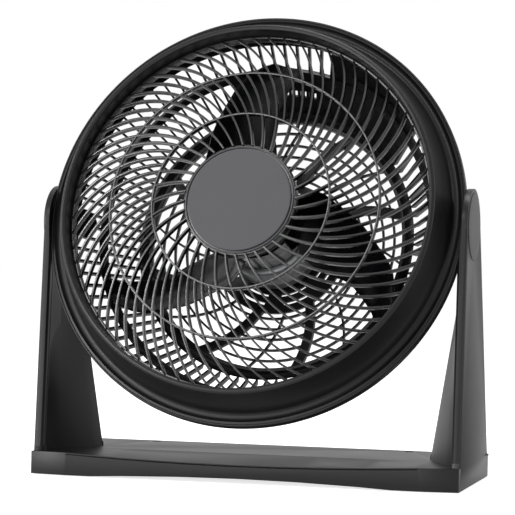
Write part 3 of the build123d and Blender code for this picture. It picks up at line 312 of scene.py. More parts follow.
# %% [markdown]
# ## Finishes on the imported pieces
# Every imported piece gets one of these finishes. Pieces that are also redrawn further down keep
# theirs too, in case the redrawn one is taken out.

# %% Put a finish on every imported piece
FINISH_OF_SLOT = {
    "body_plastic": BLACK_ABS,
    "blade_plastic": BLADE_ABS,
    "badge_plastic": BADGE_ABS,
    "cap_plastic": CAP_ABS,
    "foot_rubber": FOOT_RUBBER,
    "fixing_steel": ZINC,
    "core_steel": STEEL,
    "motor_aluminium": CAST_ALUMINIUM,
    "winding_copper": COPPER,
    "bush_bronze": BRONZE,
    "switch_plastic": NYLON,
}
SLOT_OF_NODE = {part["node"]: part["material_slot"] for part in frame["record"]["subparts"]}
for name, node in frame["nodes"].items():
    node.data.materials.clear()
    node.data.materials.append(FINISH_OF_SLOT[SLOT_OF_NODE[name]])
print("finished", len(frame["nodes"]), "pieces")

# %% [markdown]
# ## Drawing helpers
# Three ways of drawing cover the fan. *Turning* spins a side profile about an axis, for rims, rings
# and caps. A *sweep* carries a small section along a path, for ribs, bars and grooves. A *prism*
# lifts an outline, for the pod. Each gives points and faces, so several can share one mesh.


# %% Outlines
def rounded(corners, radius, steps=3, closed=True):
    """A polygon with each corner replaced by a short curve."""
    outline = []
    for k, corner in enumerate(corners):
        here = Vector(corner)
        if not closed and k in (0, len(corners) - 1):
            outline.append(tuple(here))
            continue
        before = Vector(corners[k - 1]) - here
        after = Vector(corners[(k + 1) % len(corners)]) - here
        reach = min(radius, before.length / 2.1, after.length / 2.1)
        start, end = here + before.normalized() * reach, here + after.normalized() * reach
        for j in range(steps + 1):
            t = j / steps
            outline.append(tuple(start * (1 - t) ** 2 + here * 2 * t * (1 - t) + end * t * t))
    return outline


def arc(centre, radius, start, end, steps):
    """Points along an arc; angles in degrees."""
    turns = [radians(start + (end - start) * k / steps) for k in range(steps + 1)]
    return [(centre[0] + radius * cos(t), centre[1] + radius * sin(t)) for t in turns]


def box(width, depth, radius, steps=3):
    """A rounded rectangle about its own middle."""
    x, y = width / 2, depth / 2
    return rounded([(-x, -y), (x, -y), (x, y), (-x, y)], radius, steps)


def spot(radius, azimuth, forward=0.0):
    """A point on the head's axes; azimuth in degrees from +X."""
    return Vector((radius * cos(radians(azimuth)), radius * sin(radians(azimuth)), forward))


def station(origin, x_dir, z_dir):
    """One station of a sweep, in millimetres; y follows from the other two directions."""
    x_dir, z_dir = Vector(x_dir).normalized(), Vector(z_dir).normalized()
    turn = Matrix((x_dir, z_dir.cross(x_dir), z_dir)).transposed().to_4x4()
    return Matrix.Translation(origin) @ turn


def axes(origin, x_dir, z_dir):
    """A frame in metres, with its origin given in millimetres."""
    return station(Vector(origin) * MM, x_dir, z_dir)


# %% Turned, swept and lifted shapes
def turned(profile, place=HEAD, steps=180, closed=True, start=0.0, end=360.0):
    """Spin (radius, forward) points about the axis of a frame, all the way round or part of it."""
    whole = end - start >= 360
    stations = steps if whole else steps + 1
    points, faces, count = [], [], len(profile)
    for k in range(stations):
        azimuth = start + (end - start) * k / steps
        points += [place @ (spot(radius, azimuth, forward) * MM) for radius, forward in profile]
    for k in range(steps):
        this, following = k * count, (k + 1) % stations * count
        for j in range(count if closed else count - 1):
            m = (j + 1) % count
            faces.append((this + j, this + m, following + m, following + j))
    if not whole:
        faces += [tuple(range(count)), tuple(range((stations - 1) * count, stations * count))]
    return points, faces


def swept(path, section, place=HEAD):
    """Carry a closed section along stations, each a matrix in millimetres on a frame."""
    points, faces, count = [], [], len(section)
    for stop in path:
        points += [place @ ((stop @ Vector((x, y, 0))) * MM) for x, y in section]
    for k in range(len(path) - 1):
        a, b = k * count, (k + 1) * count
        faces += [(a + j, a + (j + 1) % count, b + (j + 1) % count, b + j) for j in range(count)]
    faces += [tuple(range(count)), tuple(range((len(path) - 1) * count, len(path) * count))]
    return points, faces


def prism(outline, place, low, high):
    """Lift an outline between two heights of a frame."""
    path = [Matrix.Translation((0, 0, height)) for height in (low, high)]
    return swept(path, outline, place)


def joined(shapes):
    """Several shapes as one."""
    points, faces = [], []
    for more_points, more_faces in shapes:
        faces += [tuple(i + len(points) for i in face) for face in more_faces]
        points += more_points
    return points, faces


def thin_skin(front_side, back_side, wide):
    """A closed skin between two equal grids of points, in rows of that many points."""
    faces, layer = [], len(front_side)
    for first in range(0, layer - wide, wide):
        for a in range(first, first + wide - 1):
            faces.append((a, a + 1, a + wide + 1, a + wide))
            faces.append((a + layer + wide, a + layer + wide + 1, a + layer + 1, a + layer))
        for a in (first, first + wide - 1):
            faces.append((a, a + wide, a + wide + layer, a + layer))
    for first in (0, layer - wide):
        faces += [(a, a + layer, a + layer + 1, a + 1) for a in range(first, first + wide - 1)]
    return front_side + back_side, faces


# %% [markdown]
# A shape becomes a piece when it rides on a body of the frame, wears the finish of the first
# imported node it redraws or a finish of its own, and stands for the imported nodes it redraws,
# which are hidden. No moulded edge is a knife edge, and it is the small radius that catches light,
# so sharp edges can be bevelled on the way.


# %% From shape to piece
def round_edges(work, radius_mm, sharp_angle, steps):
    """Bevel every edge of a bmesh that is sharper than an angle in degrees."""
    limit = radians(sharp_angle)
    edges = [e for e in work.edges if len(e.link_faces) == 2]
    sharp = [e for e in edges if e.calc_face_angle(0) > limit]
    how = {"segments": steps, "profile": 0.5, "affect": "EDGES", "clamp_overlap": True}
    bmesh.ops.bevel(work, geom=sharp, offset=radius_mm * MM, **how)


def solid_mesh(name, shape, bevel_mm=0.0, smooth_angle=40.0, steps=2):
    """A mesh with outward normals, optional rounded edges, and smooth shading up to an angle."""
    mesh = bpy.data.meshes.new(name)
    mesh.from_pydata(shape[0], [], shape[1])
    work = bmesh.new()
    work.from_mesh(mesh)
    bmesh.ops.remove_doubles(work, verts=work.verts, dist=0.001 * MM)
    bmesh.ops.recalc_face_normals(work, faces=work.faces)
    if bevel_mm:
        flat = {"angle_limit": radians(0.5), "verts": work.verts, "edges": work.edges}
        bmesh.ops.dissolve_limit(work, **flat)
        round_edges(work, bevel_mm, smooth_angle, steps)
    work.to_mesh(mesh)
    work.free()
    mesh.shade_smooth()
    mesh.set_sharp_from_angle(angle=radians(smooth_angle))
    return mesh


def carved(mesh, cutters, smooth_angle=40.0):
    """The mesh with closed cutter shapes taken out of it."""
    body = bpy.data.objects.new(mesh.name, mesh)
    tool = bpy.data.objects.new("cutter", solid_mesh("cutter", joined(cutters)))
    for thing in (body, tool):
        bpy.context.scene.collection.objects.link(thing)
    cut = body.modifiers.new("carve", "BOOLEAN")
    cut.object, cut.operation, cut.solver = tool, "DIFFERENCE", "EXACT"
    depsgraph = bpy.context.evaluated_depsgraph_get()
    result = bpy.data.meshes.new_from_object(body.evaluated_get(depsgraph))
    for thing in (body, tool):
        bpy.data.objects.remove(thing)
    result.shade_smooth()
    result.set_sharp_from_angle(angle=radians(smooth_angle))
    return result


def show(mesh, name, replaced, finish=None):
    """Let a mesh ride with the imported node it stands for, in that node's finish or its own."""
    node = frame["nodes"][replaced[0]]
    slot = SLOT_OF_NODE[replaced[0]]
    piece = bpy.data.objects.new(name, mesh)
    bpy.context.scene.collection.objects.link(piece)
    mesh.materials.clear()
    mesh.materials.append(finish or FINISH_OF_SLOT[slot])
    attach(piece, node["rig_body"])
    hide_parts(*replaced)
    print(name, len(mesh.polygons), "faces")
    return piece


# %% [markdown]
# ## Stand
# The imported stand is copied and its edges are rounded. Then fine grooves are cut beside the bead
# that runs up the front of each arm and over its top, and along the upper edge of the base's front
# wall. A small fillet flares out where each arm rises from the plate, and a smooth skin covers the
# flats of each arm's inner face, so that light runs over it in one soft band.

# %% Stand with its grooves and root fillets
STAND_HALF, STAND_FRONT, STAND_BACK = 190.3, -53.5, 96.5
PIVOT_Y, PIVOT_Z = PIVOT.y / MM, PIVOT.z / MM
ARM_FOOT_Y, ARM_TOP_RADIUS = -45.5, 32.5
BEAD_WIDTH = 7.8
PLATE_TOP, LIP_DIP, DIP_REACH = 20.5, 4.2, 156.3
RIDGE_Y, RIDGE_FOOT_X, RIDGE_TOP_X = 27.5, 148.0, 184.0
HOLLOW_FOOT, HOLLOW_FALL = 6.0, 5.4  # depth of an arm's hollow inner face, and its fall with height
FILLET, BEDDING = 4.0, 0.6  # the fillet's radius, and how far it reaches into the arm
FACE_TOP, FACE_BULGE, FACE_PROUD, FACE_SINK, FACE_SKIN = 150.0, 2.2, 0.8, 1.4, 1.5


def softened(node_name, radius_mm, sharp_angle=32.0):
    """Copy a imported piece, merge its flat facets and round its sharp edges."""
    work = bmesh.new()
    work.from_mesh(frame["nodes"][node_name].data)
    bmesh.ops.remove_doubles(work, verts=work.verts, dist=0.004 * MM)
    flat = {"angle_limit": radians(1.0), "verts": work.verts, "edges": work.edges}
    bmesh.ops.dissolve_limit(work, **flat)
    round_edges(work, radius_mm, sharp_angle, 3)
    mesh = bpy.data.meshes.new(node_name + "_softened")
    work.to_mesh(mesh)
    work.free()
    mesh.shade_smooth()
    mesh.set_sharp_from_angle(angle=radians(sharp_angle))
    return mesh


def bead_groove(x, inset, size):
    """A groove up an arm's front edge and over its round top, at a distance inside that edge."""
    top = ARM_TOP_RADIUS - inset
    outline = [(ARM_FOOT_Y + inset, PLATE_TOP - 2.0)] + arc((PIVOT_Y, PIVOT_Z), top, 180, 25, 24)
    path = []
    for k, (y, z) in enumerate(outline):
        before, after = outline[max(0, k - 1)], outline[min(len(outline) - 1, k + 1)]
        along = (0, after[0] - before[0], after[1] - before[1])
        path.append(station((x, y, z), (1, 0, 0), along))
    return swept(path, [(-size, 0), (0, -size), (size, 0), (0, size)], Matrix.Identity(4))


def front_groove():
    """A groove under the upper edge of the base's front wall, following its shallow dip."""
    path, steps = [], 48
    for k in range(steps + 1):
        x = -DIP_REACH + 2 * DIP_REACH * k / steps
        drop = LIP_DIP * (1 - (x / DIP_REACH) ** 2)
        slope = 2 * LIP_DIP * x / DIP_REACH**2
        path.append(station((x, STAND_FRONT, PLATE_TOP - drop - 1.25), (0, 1, 0), (1, 0, slope)))
    return swept(path, [(-0.7, 0), (0, -0.55), (0.7, 0), (0, 0.55)], Matrix.Identity(4))


def arm_outline(height, grow):
    """Plan of the arm's inner side at a height, from bead to back, pushed out by a distance."""
    share = height / PIVOT_Z
    front = ARM_FOOT_Y + (PIVOT_Y - ARM_TOP_RADIUS - ARM_FOOT_Y) * share
    back = STAND_BACK + (PIVOT_Y + ARM_TOP_RADIUS - STAND_BACK) * share
    ridge = RIDGE_FOOT_X + (RIDGE_TOP_X - RIDGE_FOOT_X) * share
    bead_x = STAND_HALF - BEAD_WIDTH
    bead_back = front + BEAD_WIDTH
    hollow = HOLLOW_FOOT - HOLLOW_FALL * share
    corners = [(STAND_HALF - 1.0, front), (bead_x + 1.0, front)]
    corners += [(bead_x, front + 1.0), (bead_x, bead_back)]
    for part in (1 / 3, 2 / 3):
        bow = 4 * hollow * part * (1 - part)
        x = bead_x + (ridge - bead_x) * part + bow
        corners.append((x, bead_back + (RIDGE_Y - bead_back) * part + bow / 2))
    corners += [(ridge, RIDGE_Y), (STAND_HALF - 0.5, back - 0.5)]
    grown = []
    for k, corner in enumerate(corners):
        before = Vector(corners[max(0, k - 1)])
        after = Vector(corners[min(len(corners) - 1, k + 1)])
        along = (after - before).normalized()
        grown.append(Vector(corner) + Vector((-along.y, along.x)) * -grow)
    return grown


def root_fillet(side):
    """A flared skirt round an arm's foot, on the plate."""
    steps, points, faces = 6, [], []
    low = PLATE_TOP - 0.4
    rows = [(low, FILLET)]
    for k in range(steps + 1):
        turn = pi / 2 * k / steps
        rows.append((PLATE_TOP + FILLET * (1 - cos(turn)), FILLET * (1 - sin(turn))))
    rows += [(PLATE_TOP + FILLET, -BEDDING), (low, -BEDDING)]
    for height, grow in rows:
        points += [Vector((side * x, y, height)) * MM for x, y in arm_outline(height, grow)]
    count = len(points) // len(rows)
    firsts = range(0, len(points), count)
    for a in firsts:
        b = (a + count) % len(points)
        faces += [(a + j, a + j + 1, b + j + 1, b + j) for j in range(count - 1)]
    return points, faces + [tuple(firsts), tuple(a + count - 1 for a in firsts)]


def inner_face(side, across=18, upward=32):
    """A smooth skin over the flats of an arm's inner side, bulged at the foot, sunk at the top."""
    front_side, back_side = [], []
    for k in range(upward + 1):
        height = PLATE_TOP - 0.5 + (FACE_TOP - PLATE_TOP) * k / upward
        outline = arm_outline(height, 0.0)
        bead, ridge = outline[3], outline[6]
        hollow = HOLLOW_FOOT - HOLLOW_FALL * height / PIVOT_Z
        bulge = FACE_BULGE * (1 - height / PIVOT_Z)
        fade = min(1.0, (upward - k) / 20)
        sunk = 0.06 + FACE_SINK * max(0.0, 1 - 2 * fade)
        for j in range(across + 1):
            part = j / across
            bow = 4 * part * (1 - part) * (hollow - (hollow + bulge) * fade)
            proud = FACE_PROUD * fade * min(1.0, 7 * part * (1 - part)) - sunk
            x = bead.x + (ridge.x - bead.x) * part + bow - proud
            y = bead.y + (ridge.y - bead.y) * part + bow / 2
            front_side.append(Vector((side * x, y, height)) * MM)
            back_side.append(Vector((side * (x + FACE_SKIN), y, height)) * MM)
    return thin_skin(front_side, back_side, across + 1)


grooves = [front_groove()]
for side in (1, -1):
    grooves.append(bead_groove(side * STAND_HALF, 4.2, 0.8))
    grooves.append(bead_groove(side * (STAND_HALF - BEAD_WIDTH), BEAD_WIDTH - 0.6, 0.7))
stand = carved(softened("stand_frame", 0.8), grooves, 32.0)
show(stand, "stand_moulding", ["stand_frame"])
for name, draw in (("arm_root_fillets", root_fillet), ("arm_inner_faces", inner_face)):
    pair = solid_mesh(name, joined([draw(1), draw(-1)]), smooth_angle=50.0)
    show(pair, name, ["stand_frame"])

# %% Pivot caps and feet
CAP_RADIUS, CAP_BACK, CAP_FACE = 28.6, 188.8, 191.2
for side, name in ((1, "right"), (-1, "left")):
    across = axes((0, PIVOT_Y, PIVOT_Z), (0, side, 0), (side, 0, 0))
    profile = [(0.0, CAP_FACE), (CAP_RADIUS * 0.6, CAP_FACE - 0.02)]
    profile += arc((CAP_RADIUS - 0.7, CAP_FACE - 0.8), 0.7, 90, 0, 6)
    profile += [(CAP_RADIUS, CAP_BACK), (0.0, CAP_BACK)]
    cap = solid_mesh(f"cap_{name}", turned(profile, across, 120, closed=False))
    show(cap, f"cap_{name}", [f"pivot_cap_{name}"])

FOOT_RADIUS, FOOT_HEIGHT, FOOT_INSET = 7.8, 3.2, 20.0
foot_profile = [(0.0, 0.0)] + arc((FOOT_RADIUS - 0.8, 0.8), 0.8, -90, 0, 5)
foot_profile += [(FOOT_RADIUS, FOOT_HEIGHT), (0.0, FOOT_HEIGHT)]
foot_x = STAND_HALF - FOOT_INSET
feet = []
for x in (-foot_x, foot_x):
    for y in (STAND_FRONT + 4.0 + FOOT_INSET, STAND_BACK - FOOT_INSET):
        place = Matrix.Translation(Vector((x, y, 0)) * MM)
        feet.append(turned(foot_profile, place, 48, closed=False))
show(solid_mesh("round_feet", joined(feet)), "round_feet", ["rubber_feet"])

# %% [markdown]
# ## Shroud
# The front ring is one moulding: a short sleeve that holds the grille, a lip with a nearly flat
# crest that catches the light all the way round, a hollow cheek and a thin flange with a groove
# inside its edge. It is a pure turned shape, so one side profile, listed from the sleeve outward,
# draws all of it.

# %% Shroud
SLEEVE_INNER, SLEEVE_OUTER, SLEEVE_BACK = 161.0, 163.4, 36.0
LIP_FACE = 56.7
SPLIT = 16.0  # where the shroud meets the rear housing
FLANGE_RADIUS = 186.8
shroud_profile = [(SLEEVE_INNER, SLEEVE_BACK), (SLEEVE_INNER, 54.4)]
shroud_profile += arc((162.6, LIP_FACE - 2.0), 1.6, 175, 100, 6)
shroud_profile += [(163.3, LIP_FACE - 0.08), (164.3, LIP_FACE - 0.3)]
shroud_profile += arc((164.3, LIP_FACE - 2.4), 1.9, 68, 0, 6)
shroud_profile += [(166.5, 51.0), (167.1, 46.5), (168.0, 42.0), (169.1, 37.5)]
shroud_profile += [(170.4, 33.0), (172.0, 28.8), (173.9, 25.0)]
shroud_profile += arc((178.7, 24.4), 4.6, 205, 300, 8) + [(182.4, 21.6), (182.9, 22.3)]
shroud_profile += arc((185.7, 21.3), 1.1, 150, 0, 6) + [(FLANGE_RADIUS, SPLIT + 0.1)]
shroud_profile += [(175.4, SPLIT), (170.4, 21.0), (SLEEVE_OUTER, 40.7), (SLEEVE_OUTER, SLEEVE_BACK)]
shroud = solid_mesh("shroud", turned(shroud_profile, steps=240), smooth_angle=30.0)
show(shroud, "shroud", ["front_shroud"])

# %% [markdown]
# ## Front grille
# Seventy-two thin ribs run over a shallow dome. Half of them start at the badge and half at the
# first ring. Seen from the front each is an arc, which twists the air as it leaves. A rib is a
# deep strip with a flat front, whose edges are just broken, and it narrows behind. Two rings hold
# the ribs apart, a rim takes their outer ends, and a solid hub behind the badge their inner ones.

# %% Grille ribs
BADGE_FACE = 70.4
DOME_DROP, DOME_START, DOME_SPAN = 25.7, 47.25, 107.75
RIB_ARC, RIB_LEAN, RIB_START = 107.4, 14.5, 44.0
RIB_WIDTH, RIB_DEPTH, RIB_COUNT, LONG_RIB_START = 1.8, 6.0, 36, 48.6
RINGS = (78.3, 119.4)
RIM_RADIUS = 159.6
RIB_EDGE = 0.35  # radius of a rib's edges


def dome(radius):
    """How far forward the grille's face is at a radius."""
    return BADGE_FACE - DOME_DROP * (max(0.0, radius - DOME_START) / DOME_SPAN) ** 2


def rib_place(turn):
    """Plan radius and azimuth of a rib where its arc has turned this far, in degrees."""
    lean = radians(RIB_LEAN)
    x = RIB_START + RIB_ARC * (sin(lean + radians(turn)) - sin(lean))
    y = RIB_ARC * (cos(lean) - cos(lean + radians(turn)))
    return hypot(x, y), degrees(atan2(y, x))


def rib_path(start_radius, phase, steps=22):
    """Stations of one rib, from a radius to the rim, turned to its place."""
    turns = [k * 0.25 for k in range(400)]
    start = next(t for t in turns if rib_place(t)[0] >= start_radius)
    end = next(t for t in turns if rib_place(t)[0] >= RIM_RADIUS)
    stations = []
    for k in range(steps + 1):
        turn = start + (end - start) * k / steps
        radius, azimuth = rib_place(turn)
        heading = radians(RIB_LEAN + turn + phase)
        across, along = (-sin(heading), cos(heading), 0), (cos(heading), sin(heading), 0)
        stations.append(station(spot(radius, azimuth + phase, dome(radius)), across, along))
    return stations


front, rear, pace = RIB_WIDTH / 2, RIB_WIDTH / 2 * 0.75, 360 // RIB_COUNT
rib_section = [(front, 0), (-front, 0), (-rear, -RIB_DEPTH), (rear, -RIB_DEPTH)]
rib_section = rounded(rib_section, RIB_EDGE, 2)
ribs = [swept(rib_path(LONG_RIB_START, pace * k), rib_section) for k in range(RIB_COUNT)]
ribs += [swept(rib_path(RINGS[0], pace * k + pace / 2), rib_section) for k in range(RIB_COUNT)]
show(solid_mesh("grille_ribs", joined(ribs)), "grille_ribs", ["front_grille"], GRILLE_ABS)


# %% Grille rings, rim and hub
def ring_section(radius, front, width, depth):
    """A ring's side profile, narrower behind."""
    half, rear = width / 2, front - depth
    corners = [(radius + half, front), (radius - half, front)]
    corners += [(radius - half * 0.8, rear), (radius + half * 0.8, rear)]
    return rounded(corners, RIB_EDGE, 2)


rings = [turned(ring_section(radius, dome(radius) + 0.25, 1.7, RIB_DEPTH)) for radius in RINGS]
rings.append(turned(ring_section(159.5, dome(160.6) + 0.4, 2.2, 9.5), steps=240))
HUB_FACE = 68.0
hub_profile = [(0.0, HUB_FACE), (48.2, HUB_FACE)] + arc((48.6, 66.8), 1.2, 90, 0, 5)
hub_profile += [(49.8, 60.2), (48.2, 59.6), (0.0, 59.5)]
rings.append(turned(hub_profile, steps=120, closed=False))
show(solid_mesh("grille_rings", joined(rings)), "grille_rings", ["front_grille"], GRILLE_ABS)

# %% [markdown]
# ## Badge
# The centre of the grille is a satin grey disc inside a fine raised ring, with a dark groove
# between them.

# %% Badge and its ring
BADGE_RADIUS = 45.6
seat = HUB_FACE + 0.02
badge_profile = [(0.0, BADGE_FACE), (30.0, BADGE_FACE - 0.02)]
badge_profile += [(BADGE_RADIUS - 1.6, BADGE_FACE - 0.1)]
badge_profile += arc((BADGE_RADIUS - 1.0, BADGE_FACE - 1.1), 1.0, 80, 0, 6)
badge_profile += [(BADGE_RADIUS, seat), (0.0, seat)]
show(solid_mesh("badge_disc", turned(badge_profile, closed=False)), "badge_disc", ["badge"])
trim_profile = [(46.45, seat)] + arc((47.2, 69.05), 0.75, 180, 0, 8) + [(47.95, seat)]
show(solid_mesh("badge_trim", turned(trim_profile)), "badge_trim", ["badge_ring"])

# %% [markdown]
# ## Rear cage
# The rear housing is a cone of ninety bars between three bands, open all round except for a part
# at the upper right that carries the speed control and is closed but for a row of small windows.
# Its back is a shallow dome: stepped rings, sixteen swept arms and the round plate that the motor
# hangs on.

# %% Rear cage: cone
CAGE_RADIUS, CAGE_BACK, CAGE_SLOPE = 122.0, -60.6, 75.0 / 58.0
CAGE_OUT = Vector((CAGE_SLOPE, -1)).normalized()  # outward from the cone, as (radius, forward)
CAGE_EDGE = 0.5  # radius of the cage's edges
BAR_COUNT, BAR_WIDTH, BAR_DEPTH, BAR_ENDS = 90, 2.0, 5.5, (127.0, 172.0)
BANDS = ((121.0, 128.0), (151.0, 155.0), (171.0, 181.0))  # radii
PANEL_SUNK, PANEL_DEPTH = 0.05, 3.0
PANELS = (  # radii, azimuths
    (154.0, 172.0, 36, 72),
    (127.0, 138.0, 36, 108),
    (141.5, 152.0, 36, 108),
)
WINDOW_ROW, WINDOW_SUNK, WINDOW_DEPTH = (137.0, 142.5), 0.08, 2.9
WINDOW_BARS = ((36, 77), (91, 108), (80.0, 81.0), (83.5, 84.5), (87.0, 88.0))  # azimuths


def cage(radius, depth=0.0):
    """Side-view point of the cone, a depth inside its outer face."""
    forward = CAGE_BACK + (radius - CAGE_RADIUS) * CAGE_SLOPE
    return (radius - CAGE_OUT.x * depth, forward - CAGE_OUT.y * depth)


def cage_band(low, high, start=0.0, end=360.0, sunk=0.0, depth=BAR_DEPTH):
    """A band of the cone between two radii, all round or over some azimuths."""
    corners = [cage(low, sunk), cage(high, sunk), cage(high, depth), cage(low, depth)]
    steps = max(2, round((end - start) / 2))
    return turned(rounded(corners, CAGE_EDGE, 2), steps=steps, start=start, end=end)


def cage_bar(azimuth):
    """One straight bar of the cone."""
    across = spot(1, azimuth + 90)
    path = []
    for radius in BAR_ENDS:
        along = spot(1, azimuth) + Vector((0, 0, CAGE_SLOPE))
        path.append(station(spot(radius, azimuth, cage(radius)[1]), across, along))
    half, inner = BAR_WIDTH / 2, 0.1 - BAR_DEPTH
    section = [(-half, -0.1), (half, -0.1), (half * 0.8, inner), (-half * 0.8, inner)]
    return swept(path, rounded(section, CAGE_EDGE, 2))


housing = [cage_bar(360 / BAR_COUNT * k) for k in range(BAR_COUNT)]
housing += [cage_band(*band) for band in BANDS]
housing += [cage_band(*panel, PANEL_SUNK, PANEL_DEPTH) for panel in PANELS]
for start, end in WINDOW_BARS:
    housing.append(cage_band(*WINDOW_ROW, start, end, WINDOW_SUNK, WINDOW_DEPTH))
FLANGE_INNER, FLANGE_BACK, FLANGE_FRONT = 176.5, SPLIT - 3.2, SPLIT - 0.1
flange = [(FLANGE_INNER, FLANGE_BACK), (FLANGE_RADIUS, FLANGE_BACK)]
flange += [(FLANGE_RADIUS, FLANGE_FRONT), (FLANGE_INNER, FLANGE_FRONT)]
housing.append(turned(rounded(flange, CAGE_EDGE, 2), steps=240))

# %% Rear cage: back
BACK_DOME = 13.5
BACK_RINGS = [(radius, 2.0, 4.0) for radius in (67.0, 77.0, 87.0, 97.5, 108.0)]
BACK_RINGS.append((119.6, 6.5, 6.5))  # radius, width, depth
ARM_SWEEP, ARM_PHASE, ARM_PAIRS, ARM_PACE = 20.0, 13.0, 8, 45  # three angles and a count
PLATE_RADIUS, PLATE_BACK, PLATE_FRONT = 62.0, -73.5, -70.5
PLATE_BRIDGES = ((44.5, 46.5, 7.4), (52.3, 54.7, 9.5))  # radii, half the width in degrees


def back(radius):
    """Rear surface of the back's dome at a radius."""
    return CAGE_BACK - BACK_DOME * (1 - (radius / CAGE_RADIUS) ** 4)


def back_arm(width, depth, phase, steps=10):
    """One swept arm from the motor's plate to the cone."""
    path = []
    for k in range(steps + 1):
        share = k / steps
        radius = PLATE_RADIUS - 2 + (CAGE_RADIUS - PLATE_RADIUS + 1) * share
        azimuth = ARM_SWEEP * (1 - share) + phase
        lag = degrees(atan2(radius * radians(ARM_SWEEP), CAGE_RADIUS - PLATE_RADIUS))
        across, along = spot(1, azimuth - lag + 90), spot(1, azimuth - lag)
        path.append(station(spot(radius, azimuth, back(radius) + 0.3), across, along))
    half = width / 2
    section = [(-half, 0), (half, 0), (half * 0.9, depth), (-half * 0.9, depth)]
    return swept(path, rounded(section, 0.6, 2))


def plate_band(low, high, start=0.0, end=360.0):
    """A band of the motor's plate between two radii."""
    corners = [(low, PLATE_BACK), (high, PLATE_BACK), (high, PLATE_FRONT), (low, PLATE_FRONT)]
    return turned(corners, steps=96 if end - start >= 360 else 8, start=start, end=end)


for radius, width, depth in BACK_RINGS:
    rear = back(radius)
    low, high = radius - width / 2, radius + width / 2
    section = [(low, rear), (high, rear), (high, rear + depth), (low, rear + depth)]
    housing.append(turned(rounded(section, CAGE_EDGE, 2)))
for k in range(ARM_PAIRS):
    housing.append(back_arm(9.0, 5.3, ARM_PHASE + ARM_PACE * k))
    housing.append(back_arm(2.0, 4.3, ARM_PHASE + ARM_PACE * k + ARM_PACE / 2))
housing += [plate_band(0.01, 44.6), plate_band(46.4, 52.4), plate_band(54.6, PLATE_RADIUS)]
for k in range(ARM_PAIRS):
    for low, high, half in PLATE_BRIDGES:
        housing.append(plate_band(low, high, ARM_PACE * k - half, ARM_PACE * k + half))

# %% Rear cage: pivot bosses and the speed control's box
BOSS_RADIUS, BOSS_END = 12.6, 183.6
POD_AZIMUTH, POD_RADIUS = 54.0, 148.0
POD_WIDTH, POD_LENGTH, POD_HEIGHT, POD_LID, POD_ROUND = 60.0, 40.0, 18.0, 2.4, 5.0
pod_outline = box(POD_WIDTH, POD_LENGTH, POD_ROUND, 6)
pod_foot = spot(POD_RADIUS, POD_AZIMUTH, cage(POD_RADIUS)[1])
pod_out = spot(CAGE_OUT.x, POD_AZIMUTH, CAGE_OUT.y)
POD = HEAD @ axes(pod_foot, spot(1, POD_AZIMUTH + 90), pod_out)


def pivot_boss(side, steps=48):
    """A round boss from the cone out to the arm; its inner end follows the cone."""
    points = []
    for k in range(steps):
        y, forward = spot(BOSS_RADIUS, 360 * k / steps).xy
        cone = CAGE_RADIUS + (forward - CAGE_BACK) / CAGE_SLOPE - 3.0
        for x in (sqrt(cone**2 - y**2), BOSS_END):
            points.append(HEAD @ (Vector((side * x, y, forward)) * MM))
    count = len(points)
    faces = [(k, k + 1, (k + 3) % count, (k + 2) % count) for k in range(0, count, 2)]
    return points, faces + [tuple(range(0, count, 2)), tuple(range(1, count, 2))]


housing += [pivot_boss(1), pivot_boss(-1), prism(pod_outline, POD, -BAR_DEPTH, POD_HEIGHT)]
show(solid_mesh("rear_cage", joined(housing), smooth_angle=35.0), "rear_cage", ["rear_housing"])

# %% [markdown]
# ## Speed control, cover and gland
# A lid closes the pod, with the switch's knob on it: a round skirt and a bar to grip, with a fine
# line that points. Behind the motor's plate sits a shallow round cover, and through it a ribbed
# rubber gland for the cord.

# %% Pod lid and knob
POD_TOP = POD_HEIGHT + POD_LID
lid = prism(pod_outline, POD, POD_HEIGHT + 0.02, POD_TOP)
show(solid_mesh("pod_lid", lid, 0.7, 50.0), "pod_lid", ["pod_cover"])
KNOB_BASE, KNOB_RADIUS, SKIRT_TOP, KNOB_TOP = 20.8, 14.0, 26.3, 32.8
KNOB_BORE, KNOB_ROOF = 7.0, KNOB_BASE + 3.0
skirt = [(KNOB_BORE, KNOB_BASE), (KNOB_RADIUS, KNOB_BASE)]
skirt += [(KNOB_RADIUS - 0.6, 25.4), (12.2, SKIRT_TOP)]
skirt = rounded(skirt, 0.6, 3, closed=False)
skirt += [(0.0, SKIRT_TOP), (0.0, KNOB_ROOF), (KNOB_BORE, KNOB_ROOF)]
line_place = POD @ Matrix.Translation((7.2 * MM, 0, 0)) @ Matrix.Rotation(pi / 2, 4, "Z")
knob = [turned(skirt, POD, 96, closed=False)]
knob.append(prism(box(1.0, 8.0, 0.3, 2), line_place, KNOB_TOP - 1, KNOB_TOP))
GRIP = ((25.8, 1.0), (30.5, 0.93), (32.0, 0.9), (32.5, 0.82))  # height, share of full size
grip_path = []
for height, share in GRIP:
    grip_path.append(Matrix.Translation((0, 0, height)) @ Matrix.Diagonal((share, share, 1, 1)))
knob.append(swept(grip_path, box(23.0, 7.0, 2.4, 5), POD))
show(solid_mesh("knob", joined(knob), smooth_angle=50.0), "knob", ["speed_knob"])

